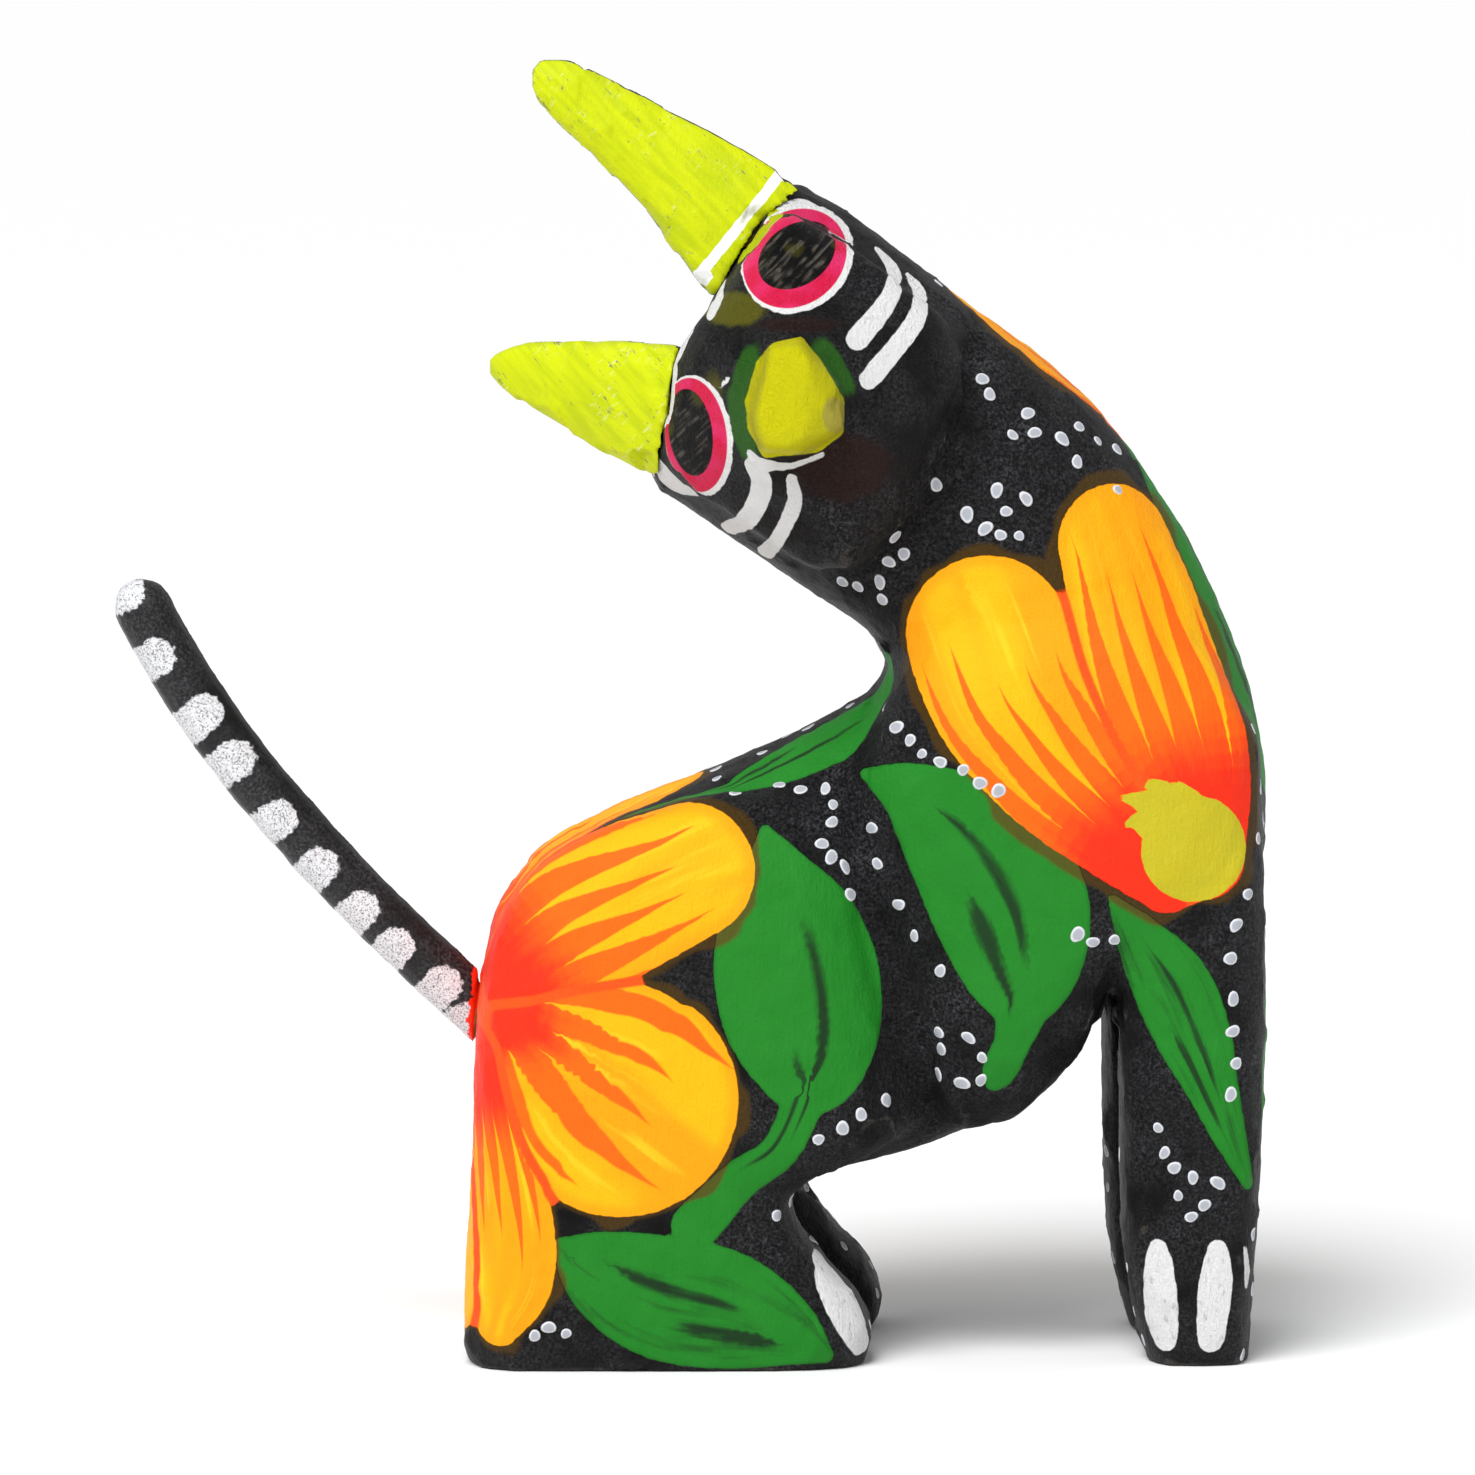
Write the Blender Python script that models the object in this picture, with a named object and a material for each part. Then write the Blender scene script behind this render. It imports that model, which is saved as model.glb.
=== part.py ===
"""A painted cat figure whittled from one block of copal wood, with push-fit ears and tail.

The cat sits with its chest towards +X and its tail towards -X, bends its neck back over its body and
turns its face to -Y. +Z is up, and the origin is on the ground under the middle of the figure's box.
Lengths and tables are in millimetres, which `metres` turns into Blender's units. The tables count Y
from the body's middle plane, and an empty that carries the whole figure moves it over the origin.
"""

import math

import bmesh
import bpy
from mathutils import Matrix, Vector

MM = 0.001

# Driving dimensions, in millimetres.
FIGURE_SHIFT = (-0.4, 2.1, 0.0)  # puts the middle of the figure's box over the origin
TAIL_DIAMETER = 4.5
TAIL_LENGTH = 42.5
TAIL_PEG = (1.6, 8.0)  # radius and length of the whittled end
EAR_PEG = (1.25, 5.5)
PEG_PLAY = 0.15  # radial room round a peg in its hole
HOLE_EXTRA = 0.6  # how much deeper a hole is than its peg
SEAT_GAP = 0.3  # between the body and a piece that is pushed home
SOLE_SPREAD = 1.6  # how far the legs are carved long before the soles are sawn flat

# The carved surface: the size of the cuts that shape it, and how far they are rubbed smooth.
VOXEL = 0.7
SMOOTHING = 20
KEPT_DETAIL = 0.085
SHARP_ANGLE = math.radians(40)
RING_POINTS = 28

# The trunk's ribs, from rump to crown: the point on the inner side of the bend (back, nape), the
# point on the outer side (belly, chest, throat), and the half thickness on the face side and beyond.
TRUNK_RIBS = [
    ((-15.9, 28.0), (-16.3, 19.0), 6.0, 6.0),
    ((-14.6, 34.1), (-16.2, 11.0), 10.0, 10.0),
    ((-10.8, 39.1), (-10.8, 8.0), 11.6, 11.6),
    ((-4.6, 42.2), (-3.5, 8.5), 12.0, 12.0),
    ((2.3, 44.8), (4.2, 11.0), 12.0, 12.0),
    ((8.5, 47.5), (11.9, 13.7), 11.8, 11.8),
    ((12.4, 49.5), (18.0, 15.3), 11.4, 11.6),
    ((14.5, 50.9), (25.6, 18.3), 11.4, 11.6),
    ((15.3, 52.0), (30.9, 25.4), 11.8, 12.0),
    ((15.5, 52.7), (37.0, 33.5), 12.2, 12.4),
    ((15.4, 53.2), (44.7, 37.3), 12.4, 12.6),
    ((15.1, 53.9), (44.8, 44.6), 12.2, 12.4),
    ((14.3, 55.1), (43.6, 50.9), 11.8, 12.0),
    ((13.0, 56.3), (41.3, 57.1), 11.2, 11.4),
    ((11.2, 57.4), (38.6, 62.7), 10.6, 11.0),
    ((9.2, 58.7), (35.3, 67.9), 10.1, 10.6),
    ((7.1, 60.1), (31.4, 72.9), 9.8, 10.2),
    ((5.0, 61.5), (26.6, 77.1), 9.8, 9.9),
    ((2.8, 63.0), (21.8, 80.5), 9.6, 9.6),
    ((0.7, 64.4), (17.1, 84.1), 9.2, 9.4),
    ((-1.3, 65.7), (12.5, 87.6), 8.8, 9.0),
    ((-2.8, 67.0), (7.9, 90.1), 8.0, 8.4),
    ((-2.3, 70.3), (4.9, 86.8), 6.6, 7.2),
]
TRUNK_SQUARENESS = 2.5

# The shoulder swells out from the trunk: its rim, in the XZ plane, and how far the rim and the middle
# of the swelling are from the figure's middle plane. The middle is flat over a share of the rim.
SHOULDER_RIM = [
    (13.6, 44.6), (15.5, 35.0), (18.2, 24.2), (20.4, 17.4), (25.6, 18.8), (28.6, 22.4), (31.0, 26.0),
    (33.6, 29.5), (44.2, 38.0), (43.8, 48.0), (40.5, 53.5), (35.5, 57.5), (28.5, 59.0), (19.0, 55.0),
    (15.2, 50.6),
]
SHOULDER_RIM_Y = 9.0
SHOULDER_FACE_Y = 13.5
SHOULDER_FLAT = 0.45
SHOULDER_STEPS = 5

# The face, turned to -Y: points of its planes, from the crown's edge round the cheeks and jaw, then
# the muzzle's root and the bridge between the eyes, then the anchors inside the neck.
FACE_POINTS = [
    (7.2, -8.8, 88.2), (13.8, -9.8, 84.8), (19.8, -10.2, 80.0), (21.8, -11.0, 75.2),
    (20.2, -12.6, 69.8), (17.0, -12.9, 64.8), (13.0, -11.8, 61.0), (9.0, -9.4, 60.8),
    (3.2, -8.2, 64.8), (-1.7, -6.8, 68.3), (-1.0, -8.0, 76.8), (2.3, -9.0, 80.8),
    (8.2, -15.4, 77.8), (12.6, -15.8, 73.6), (6.2, -14.9, 71.2), (14.6, -15.0, 69.8),
    (4.4, -14.2, 76.8), (2.2, -11.2, 79.2), (0.6, -10.8, 77.4),
    (8.0, 0.0, 87.0), (20.5, 0.0, 77.0), (14.0, 0.0, 62.0), (0.0, 0.0, 68.5), (0.5, 0.0, 78.0),
]

# The nose, in the XZ plane: its outline, where it leaves the face, and its blunt ridged end.
NOSE_OUTLINE = [
    (6.0, 78.9), (8.9, 79.3), (11.3, 76.8), (12.5, 74.8), (12.4, 71.6), (9.0, 69.6), (5.6, 69.9),
    (4.6, 72.8),
]
NOSE_ROOT_Y = -12.0
NOSE_END_Y = -17.9
NOSE_TAPER = 0.84
NOSE_RIDGE = ((7.9, 71.0), (9.2, 77.4), -18.6)  # its two ends, and its Y

# Each leg's levels, from the ground up: height, back and front edge, inner and outer side.
FRONT_LEG_LEVELS = [
    (0.0, 35.6, 43.2, 3.0, 11.0),
    (1.6, 35.1, 43.3, 2.9, 11.5),
    (4.5, 34.2, 43.4, 2.7, 11.9),
    (8.5, 33.5, 43.7, 2.6, 12.1),
    (16.0, 33.2, 44.1, 2.5, 12.3),
    (24.0, 33.2, 44.4, 2.3, 12.7),
    (30.0, 32.6, 44.4, 1.6, 12.9),
    (37.0, 31.0, 44.2, 1.0, 12.7),
    (44.0, 29.5, 43.4, 0.5, 11.9),
    (50.0, 28.0, 41.0, 0.2, 10.6),
    (56.0, 26.0, 36.5, 0.0, 8.6),
]
HIND_LEG_LEVELS = [  # from the sole up to the top of the haunch
    (0.0, -16.6, 13.6, 2.6, 13.4),
    (1.8, -17.0, 14.6, 2.5, 13.9),
    (5.0, -16.9, 13.6, 2.4, 14.2),
    (8.0, -16.8, 10.7, 2.4, 14.3),
    (11.0, -16.6, 8.4, 2.4, 14.4),
    (13.4, -16.4, 8.0, 2.2, 14.4),
    (15.6, -16.3, 13.0, 2.0, 14.4),
    (17.6, -16.2, 17.0, 1.8, 14.4),
    (24.0, -16.0, 16.1, 1.4, 14.3),
    (30.0, -15.2, 15.0, 1.0, 14.0),
    (35.0, -13.6, 13.9, 0.6, 13.5),
    (38.5, -10.8, 13.0, 0.4, 12.7),
    (41.5, -5.6, 12.3, 0.2, 11.4),
    (43.6, 1.5, 11.5, 0.0, 9.6),
]
LEG_SQUARENESS = 3.6
FAR_FRONT_LEG_LEAD = -0.7  # the legs beyond don't stand quite level with the ones on the face side
FAR_HIND_LEG_LEAD = 1.0
RUMP_LEVELS = [  # the solid between the haunches
    (0.0, -16.6, -6.0, -13.4, 13.4),
    (1.8, -17.0, -6.0, -13.9, 13.9),
    (11.0, -16.6, -6.0, -14.3, 14.3),
    (24.0, -16.0, -4.0, -14.2, 14.2),
    (30.0, -15.2, -2.0, -13.6, 13.6),
    (35.0, -13.4, 2.0, -11.6, 11.6),
]

# The tail leaves the rump at this point and bends as it rises: its angle from +X in the XZ plane at
# the root, how far it has turned by the tip, and how late along its length the turn comes.
TAIL_ROOT = Vector((-16.2, 0.0, 26.2))
TAIL_ROOT_ANGLE = math.radians(137)
TAIL_TURN = math.radians(22)
TAIL_TURN_LATENESS = 1.9
TAIL_FLATS = 12  # the knife's flats round the stick

# Each ear: the middle of its root on the crown, the way it points, the way its face looks, and its
# stations: distance from the root, lower and upper edge from its middle line, and thickness.
EARS = {
    "upper_ear": dict(
        root=(4.6, -3.6, 85.9),
        points=(-0.777, 0.0, 0.629),
        faces=(0.12, -1.0, 0.10),
        stations=[
            (-2.2, -5.3, 5.2, 4.4), (0.0, -5.2, 5.4, 4.5), (2.6, -4.4, 5.2, 4.4),
            (7.0, -3.2, 4.5, 3.9), (12.7, -2.4, 3.2, 3.2), (16.5, -2.2, 2.3, 2.8),
            (18.6, -1.9, 1.8, 2.4), (19.8, -1.2, 1.1, 1.8), (20.3, -0.5, 0.4, 1.0),
        ],
    ),
    "lower_ear": dict(
        root=(-1.9, -3.2, 72.5),
        points=(-0.80, 0.57, 0.185),
        faces=(-0.50, -0.86, -0.08),
        stations=[
            (-2.4, -4.9, 5.3, 4.6), (0.0, -5.0, 5.2, 4.6), (4.5, -4.2, 4.4, 4.1),
            (8.5, -3.2, 3.4, 3.4), (12.5, -2.2, 2.4, 2.8), (14.6, -1.6, 1.7, 2.4),
            (15.6, -1.0, 1.1, 1.8), (16.1, -0.4, 0.5, 1.0),
        ],
    ),
}
EAR_RING_POINTS = 20
EAR_SQUARENESS = 2.7


def metres(x, y, z):
    """A point given in millimetres, as Blender needs it."""
    return Vector((x, y, z)) * MM


def clear_scene():
    """Empties the scene, so that only this figure is in it."""
    for obj in list(bpy.data.objects):
        bpy.data.objects.remove(obj)


def paint(name, colour, roughness):
    """A plain painted finish."""
    material = bpy.data.materials.new(name)
    material.use_nodes = True
    shader = material.node_tree.nodes["Principled BSDF"]
    shader.inputs["Base Color"].default_value = (*colour, 1.0)
    shader.inputs["Roughness"].default_value = roughness
    return material


def new_object(name, builder, material=None):
    """A scene object that holds a finished bmesh."""
    bmesh.ops.recalc_face_normals(builder, faces=builder.faces)
    mesh = bpy.data.meshes.new(name)
    builder.to_mesh(mesh)
    builder.free()
    mesh.shade_smooth()
    mesh.set_sharp_from_angle(angle=SHARP_ANGLE)
    obj = bpy.data.objects.new(name, mesh)
    if material is not None:
        mesh.materials.append(material)
    bpy.context.collection.objects.link(obj)
    return obj


def stand_at(obj, point):
    """Moves an object's origin to a point, in millimetres, and leaves its shape where it is."""
    obj.data.transform(Matrix.Translation(-point * MM))
    obj.location = point * MM


def helper(obj):
    """Marks an object as a cutter or a guide, which isn't part of the figure."""
    obj.hide_render = True
    obj.display_type = "WIRE"
    return obj


def superellipse(angle, squareness):
    """The point of a unit superellipse at an angle: 2 is a circle, and more is squarer."""
    power = 2.0 / squareness
    c, s = math.cos(angle), math.sin(angle)
    return math.copysign(abs(c) ** power, c), math.copysign(abs(s) ** power, s)


def loft(builder, rings):
    """Skins a closed row of rings, each a list of points, and caps both ends."""
    loops = [[builder.verts.new(point) for point in ring] for ring in rings]
    for ring, following in zip(loops, loops[1:]):
        for i in range(len(ring)):
            j = (i + 1) % len(ring)
            builder.faces.new((ring[i], ring[j], following[j], following[i]))
    builder.faces.new(loops[0])
    builder.faces.new(reversed(loops[-1]))


def add_hull(builder, points):
    """The planes that wrap a set of points, given in millimetres."""
    hull = bmesh.ops.convex_hull(builder, input=[builder.verts.new(metres(*p)) for p in points])
    buried = [v for v in hull["geom_interior"] if isinstance(v, bmesh.types.BMVert)]
    bmesh.ops.delete(builder, geom=buried, context="VERTS")


def rib_ring(inner, outer, near, far):
    """A cross-section of the trunk, through its points on the inner and the outer side of the bend."""
    centre_x, centre_z = (inner[0] + outer[0]) / 2, (inner[1] + outer[1]) / 2
    half_x, half_z = (outer[0] - inner[0]) / 2, (outer[1] - inner[1]) / 2
    ring = []
    for i in range(RING_POINTS):
        along, across = superellipse(math.tau * i / RING_POINTS, TRUNK_SQUARENESS)
        depth = across * (far if across > 0 else near)
        ring.append(metres(centre_x + half_x * along, depth, centre_z + half_z * along))
    return ring


def level_ring(height, back, front, inner, outer, side=1):
    """A level cross-section of a leg on one side of the body, -1 for the face side."""
    centre_x, centre_y = (back + front) / 2, side * (inner + outer) / 2
    ring = []
    for i in range(RING_POINTS):
        along, across = superellipse(math.tau * i / RING_POINTS, LEG_SQUARENESS)
        x = centre_x + along * (front - back) / 2
        y = centre_y + across * (outer - inner) / 2
        ring.append(metres(x, y, height))
    return ring


def add_leg(builder, levels, side, lead):
    """A leg, carved a little longer than it stands so that its sole can be sawn flat."""
    rings = [
        level_ring(height, back + lead, front + lead, inner, outer, side)
        for height, back, front, inner, outer in levels
    ]
    lengthened = [point - metres(0, 0, SOLE_SPREAD) for point in rings[0]]
    loft(builder, [lengthened, *rings])


def add_shoulder(builder, side):
    """A shoulder, domed from its rim out to its flat middle."""
    centre_x = sum(x for x, _ in SHOULDER_RIM) / len(SHOULDER_RIM)
    centre_z = sum(z for _, z in SHOULDER_RIM) / len(SHOULDER_RIM)
    points = [(x, 0.0, z) for x, z in SHOULDER_RIM]
    for step in range(SHOULDER_STEPS + 1):
        turn = math.radians(90) * step / SHOULDER_STEPS
        spread = SHOULDER_FLAT + (1 - SHOULDER_FLAT) * math.cos(turn)
        y = SHOULDER_RIM_Y + (SHOULDER_FACE_Y - SHOULDER_RIM_Y) * math.sin(turn)
        points += [
            (centre_x + spread * (x - centre_x), side * y, centre_z + spread * (z - centre_z))
            for x, z in SHOULDER_RIM
        ]
    add_hull(builder, points)


def nose():
    """The whittled nose: a tapered block with a ridge down its end."""
    centre_x = sum(x for x, _ in NOSE_OUTLINE) / len(NOSE_OUTLINE)
    centre_z = sum(z for _, z in NOSE_OUTLINE) / len(NOSE_OUTLINE)
    *ridge_ends, ridge_y = NOSE_RIDGE
    points = [(x, NOSE_ROOT_Y, z) for x, z in NOSE_OUTLINE]
    points += [
        (centre_x + NOSE_TAPER * (x - centre_x), NOSE_END_Y, centre_z + NOSE_TAPER * (z - centre_z))
        for x, z in NOSE_OUTLINE
    ]
    points += [(x, ridge_y, z) for x, z in ridge_ends]
    builder = bmesh.new()
    add_hull(builder, points)
    return new_object("nose", builder)


def cylinder(name, start, direction, radius, length, segments=20):
    """A round peg or drill from a start point along a direction, all in millimetres."""
    builder = bmesh.new()
    turn = direction.to_track_quat("Z", "Y").to_matrix().to_4x4()
    place = Matrix.Translation((start + direction.normalized() * length / 2) * MM) @ turn
    bmesh.ops.create_cone(
        builder, cap_ends=True, segments=segments, radius1=radius * MM, radius2=radius * MM,
        depth=length * MM, matrix=place,
    )
    return helper(new_object(name, builder))


def add_boolean(obj, other, operation):
    """Cuts another closed mesh from an object, or joins it on."""
    modifier = obj.modifiers.new(f"{operation.lower()}_{other.name}", "BOOLEAN")
    modifier.operation = operation
    modifier.object = other
    modifier.solver = "EXACT"


def carve_body(material):
    """The figure's carved surface, before its soles are sawn and its holes drilled."""
    builder = bmesh.new()
    loft(builder, [rib_ring(*rib) for rib in TRUNK_RIBS])
    for side in (-1, 1):
        add_leg(builder, FRONT_LEG_LEVELS, side, FAR_FRONT_LEG_LEAD if side > 0 else 0.0)
        add_leg(builder, HIND_LEG_LEVELS, side, FAR_HIND_LEG_LEAD if side > 0 else 0.0)
        add_shoulder(builder, side)
    add_leg(builder, RUMP_LEVELS, 1, 0.0)
    add_hull(builder, FACE_POINTS)
    body = new_object("body", builder, material)
    fuse = body.modifiers.new("fuse", "REMESH")
    fuse.mode = "VOXEL"
    fuse.voxel_size = VOXEL * MM
    fuse.use_smooth_shade = True
    rub = body.modifiers.new("rub_smooth", "SMOOTH")
    rub.factor = 0.5
    rub.iterations = SMOOTHING
    thin = body.modifiers.new("facets", "DECIMATE")
    thin.ratio = KEPT_DETAIL
    return body


def seat_guide(body):
    """The carved surface grown by the seat's gap, which a piece is trimmed with to fit it."""
    guide = body.copy()
    guide.data = body.data.copy()
    guide.name = "seat_guide"
    bpy.context.collection.objects.link(guide)
    grow = guide.modifiers.new("grow", "DISPLACE")
    grow.strength = SEAT_GAP * MM
    grow.mid_level = 0.0
    return helper(guide)


def saw_soles(body):
    """Saws the legs flat on the ground."""
    builder = bmesh.new()
    place = Matrix.Translation(metres(12, 0, -10)) @ Matrix.Diagonal((0.1, 0.06, 0.02, 1.0))
    bmesh.ops.create_cube(builder, size=1.0, matrix=place)
    add_boolean(body, helper(new_object("saw", builder)), "DIFFERENCE")


def drill(body, name, mouth, inward, peg):
    """A blind hole for a peg. The drill starts outside the surface, so that it opens cleanly."""
    radius, length = peg
    start = mouth - inward * length
    bit = cylinder(f"{name}_drill", start, inward, radius + PEG_PLAY, 2 * length + HOLE_EXTRA)
    add_boolean(body, bit, "DIFFERENCE")


def fit_peg(piece, mouth, inward, peg, rooted):
    """A round peg that runs inward from a piece, rooted some way up inside it."""
    radius, length = peg
    stick = cylinder(f"{piece.name}_peg", mouth - inward * rooted, inward, radius, length + rooted)
    add_boolean(piece, stick, "UNION")


def tail_line(count=20):
    """Points, directions and distances along the tail, in millimetres, closer together at the tip."""
    distances = [TAIL_LENGTH * math.sin(math.radians(90) * i / (count - 1)) for i in range(count)]
    point, walked = TAIL_ROOT.copy(), 0.0
    line = []
    for distance in distances:
        angle = TAIL_ROOT_ANGLE - TAIL_TURN * (distance / TAIL_LENGTH) ** TAIL_TURN_LATENESS
        direction = Vector((math.cos(angle), 0, math.sin(angle)))
        point = point + direction * (distance - walked)
        walked = distance
        line.append((point, direction, distance))
    return line


def build_tail(material, guide):
    """The tail: a whittled stick with a blunt, rounded tip. Returns it and its peg's direction."""
    line = tail_line()
    inward = -line[0][1]
    tip_rounding = TAIL_DIAMETER / 2
    rings = []
    for point, direction, distance in line:
        to_tip = TAIL_LENGTH - distance
        rounded = math.sqrt(1 - max(0.0, 1 - to_tip / tip_rounding) ** 2)
        radius = TAIL_DIAMETER / 2 * max(rounded, 0.35)
        across = Vector((0, 1, 0))
        up = direction.cross(across)
        turns = [math.tau * k / TAIL_FLATS for k in range(TAIL_FLATS)]
        rings.append([(point + radius * (math.cos(a) * up + math.sin(a) * across)) * MM for a in turns])
    buried = [point + inward * 3.0 * MM for point in rings[0]]
    builder = bmesh.new()
    loft(builder, [buried, *rings])
    tail = new_object("tail", builder, material)
    stand_at(tail, TAIL_ROOT)
    add_boolean(tail, guide, "DIFFERENCE")
    fit_peg(tail, TAIL_ROOT, inward, TAIL_PEG, rooted=5.0)
    return tail, inward


def build_ear(name, ear, material, guide):
    """An ear: a tapered slip of wood, fitted to the crown. Returns it and its peg's direction."""
    root = Vector(ear["root"])
    outward = Vector(ear["points"]).normalized()
    faces = Vector(ear["faces"])
    faces = (faces - outward * faces.dot(outward)).normalized()
    across = outward.cross(faces).normalized()
    if across.z < 0:
        across = -across
    rings = []
    for distance, lower, upper, thickness in ear["stations"]:
        centre = root + outward * distance + across * (lower + upper) / 2
        ring = []
        for k in range(EAR_RING_POINTS):
            wide, deep = superellipse(math.tau * k / EAR_RING_POINTS, EAR_SQUARENESS)
            edge = across * wide * (upper - lower) / 2
            ring.append((centre + edge + faces * deep * thickness / 2) * MM)
        rings.append(ring)
    builder = bmesh.new()
    loft(builder, rings)
    obj = new_object(name, builder, material)
    stand_at(obj, root)
    add_boolean(obj, guide, "DIFFERENCE")
    fit_peg(obj, root, -outward, EAR_PEG, rooted=5.0)
    return obj, -outward


def set_down():
    """Hangs every object from one empty, which stands the figure over the origin."""
    figure = bpy.data.objects.new("figure", None)
    figure.location = metres(*FIGURE_SHIFT)
    for obj in bpy.data.objects:
        if obj != figure:
            obj.parent = figure
    bpy.context.collection.objects.link(figure)


def main():
    clear_scene()
    black = paint("black_paint", (0.022, 0.021, 0.024), 0.45)
    lime = paint("lime_paint", (0.72, 0.86, 0.01), 0.5)
    body = carve_body(black)
    guide = seat_guide(body)
    add_boolean(body, helper(nose()), "UNION")
    saw_soles(body)
    _, inward = build_tail(black, guide)
    drill(body, "tail", TAIL_ROOT, inward, TAIL_PEG)
    for name, ear in EARS.items():
        _, inward = build_ear(name, ear, lime, guide)
        drill(body, name, Vector(ear["root"]), inward, EAR_PEG)
    set_down()


main()
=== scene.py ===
"""The painted wooden cat, with its hand-painted finish, on a pale studio floor.

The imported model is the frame. Each of its nodes is replaced by a finer carving of the same shape, and
the paint is laid on as strokes: paths over the surface, each point with the brush's half width there.
Lengths are in millimetres in the model's frame, unless a name ends in _M. Marks on the face's side are
given by their place in the picture plane: x, and the height up that plane, both true to size where the
plane passes through the figure's middle.
"""

import math
import random

import bmesh
import bpy
import numpy as np
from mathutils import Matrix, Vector, bvhtree, kdtree, noise


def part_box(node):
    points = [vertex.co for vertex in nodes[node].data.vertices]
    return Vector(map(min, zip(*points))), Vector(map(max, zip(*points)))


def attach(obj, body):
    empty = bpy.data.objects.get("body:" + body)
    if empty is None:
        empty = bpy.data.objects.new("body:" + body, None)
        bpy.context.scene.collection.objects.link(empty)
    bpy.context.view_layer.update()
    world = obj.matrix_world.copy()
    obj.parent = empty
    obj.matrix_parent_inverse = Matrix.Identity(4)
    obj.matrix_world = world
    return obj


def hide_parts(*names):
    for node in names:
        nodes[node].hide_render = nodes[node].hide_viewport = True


MM = 0.001
MID_Y = 2.1  # the body's middle plane
SEED = 7

# Carving: the fine surfaces' grid, in millimetres, how often the body is smoothed, and its facets' size.
BODY_VOXEL = 0.41
BODY_SMOOTHING = 14
EAR_VOXEL = 0.26
TAIL_VOXEL = 0.30
FACET_SPACING = 4.2

TAIL_ROOT = Vector((-16.6, MID_Y, 26.2))
TAIL_OUT = Vector((-0.7314, 0.0, 0.6820))
EAR_ROOTS = {"upper_ear": Vector((4.2, -1.5, 85.9)), "lower_ear": Vector((-2.3, -1.1, 72.5))}
EAR_OUT = {
    "upper_ear": Vector((-0.7773, 0.0, 0.6292)),
    "lower_ear": Vector((-0.8004, 0.5703, 0.1851)),
}
EAR_FACING = {"upper_ear": (-0.10, -0.99, 0.0), "lower_ear": (-0.50, -0.86, -0.08)}
EAR_EDGE = {"upper_ear": 0.25, "lower_ear": -0.1}  # how squarely a face looks forward before it is yellow
EAR_LINE = {"upper_ear": (0.85, 0.42), "lower_ear": (-9.0, 0.3)}  # place up the ear, and half width
SEAT_CLOSING = 0.2
TAIL_SPLASH = 0.7  # how far the rump's red paint laps up the tail
HOLE_RADII = {"tail": 1.75, "upper_ear": 1.40, "lower_ear": 1.40}
# The sharp notch where the belly meets the front legs: its place along x, its width, the heights where
# the lift starts, is whole and ends, and the lift itself.
NOTCH_X = 32.2
NOTCH_WIDTH = 1.5
NOTCH_HEIGHTS = (16.0, 25.0, 36.0)
NOTCH_LIFT = 3.8
REACH = 6.0  # how far outside a stroke its distance is still measured
DEPTH_SHARE = 0.5

CAMERA_TARGET_M = (0.00364, 0.0021, 0.04705)
CAMERA_DISTANCE_M = 0.70
CAMERA_ELEVATION = 6.0
FRAME_WIDTH_M = 0.1136
PICTURE_MIDDLE = (3.64, 47.80)  # the place in the picture plane that the camera looks at
WORLD_STRENGTH = 0.48
SUN_STRENGTH = 2.26
KEY_WATTS = 1.0

# Petals run from the flower's heart out to the petal's tip: (x, z, half width) on one side.
SIDE_PETALS = [
    [(36.8, 36.6, 2.4), (33.1, 40.7, 4.0), (28.6, 45.3, 5.2), (24.8, 50.6, 6.0), (22.9, 55.4, 6.3)],
    [(39.6, 38.5, 3.2), (38.8, 44.5, 4.6), (36.8, 50.7, 5.4), (34.7, 56.8, 5.2), (32.8, 62.8, 4.5)],
    [(-15.6, 27.8, 3.6), (-12.4, 31.2, 5.2), (-7.6, 34.2, 5.9), (-0.3, 37.5, 5.2)],
    [(-15.6, 27.0, 3.2), (-12.4, 25.2, 4.2), (-8.9, 22.6, 6.8), (-5.4, 19.9, 9.0)],
    [(-16.2, 25.0, 2.8), (-15.2, 18.0, 2.8), (-14.2, 11.4, 3.5), (-14.0, 6.4, 3.5), (-14.8, 2.8, 1.9)],
]


def mirrored(path, middle=MID_Y, shift=0.0):
    """A stroke's copy on the other side of a middle plane, moved along x by `shift`."""
    return [(x + shift, 2 * middle - y, z, width) for x, y, z, width in path]


# The same for the petals that lie across the back, the rump and the nape: (x, y, z, half width).
TOP_PETAL = [(-16.8, 2.1, 28.8, 5.0), (-14.6, 2.1, 36.2, 7.0), (-9.0, 2.1, 41.2, 6.9), (-2.5, 2.1, 44.2, 3.4)]
REAR_PETAL = [
    (-17.0, 0.6, 24.6, 3.4), (-17.2, -3.6, 17.0, 3.4), (-17.2, -6.6, 10.0, 4.2), (-17.0, -7.4, 6.0, 3.4),
]
NAPE_PETAL = [
    (35.0, 10.0, 65.0, 1.6), (32.6, 6.8, 70.0, 3.6), (29.6, 4.8, 74.2, 5.2), (26.4, 3.9, 77.8, 5.6),
    (23.0, 3.7, 80.8, 3.6),
]
ROUND_PETALS = [TOP_PETAL, REAR_PETAL, mirrored(REAR_PETAL), NAPE_PETAL]
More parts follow.
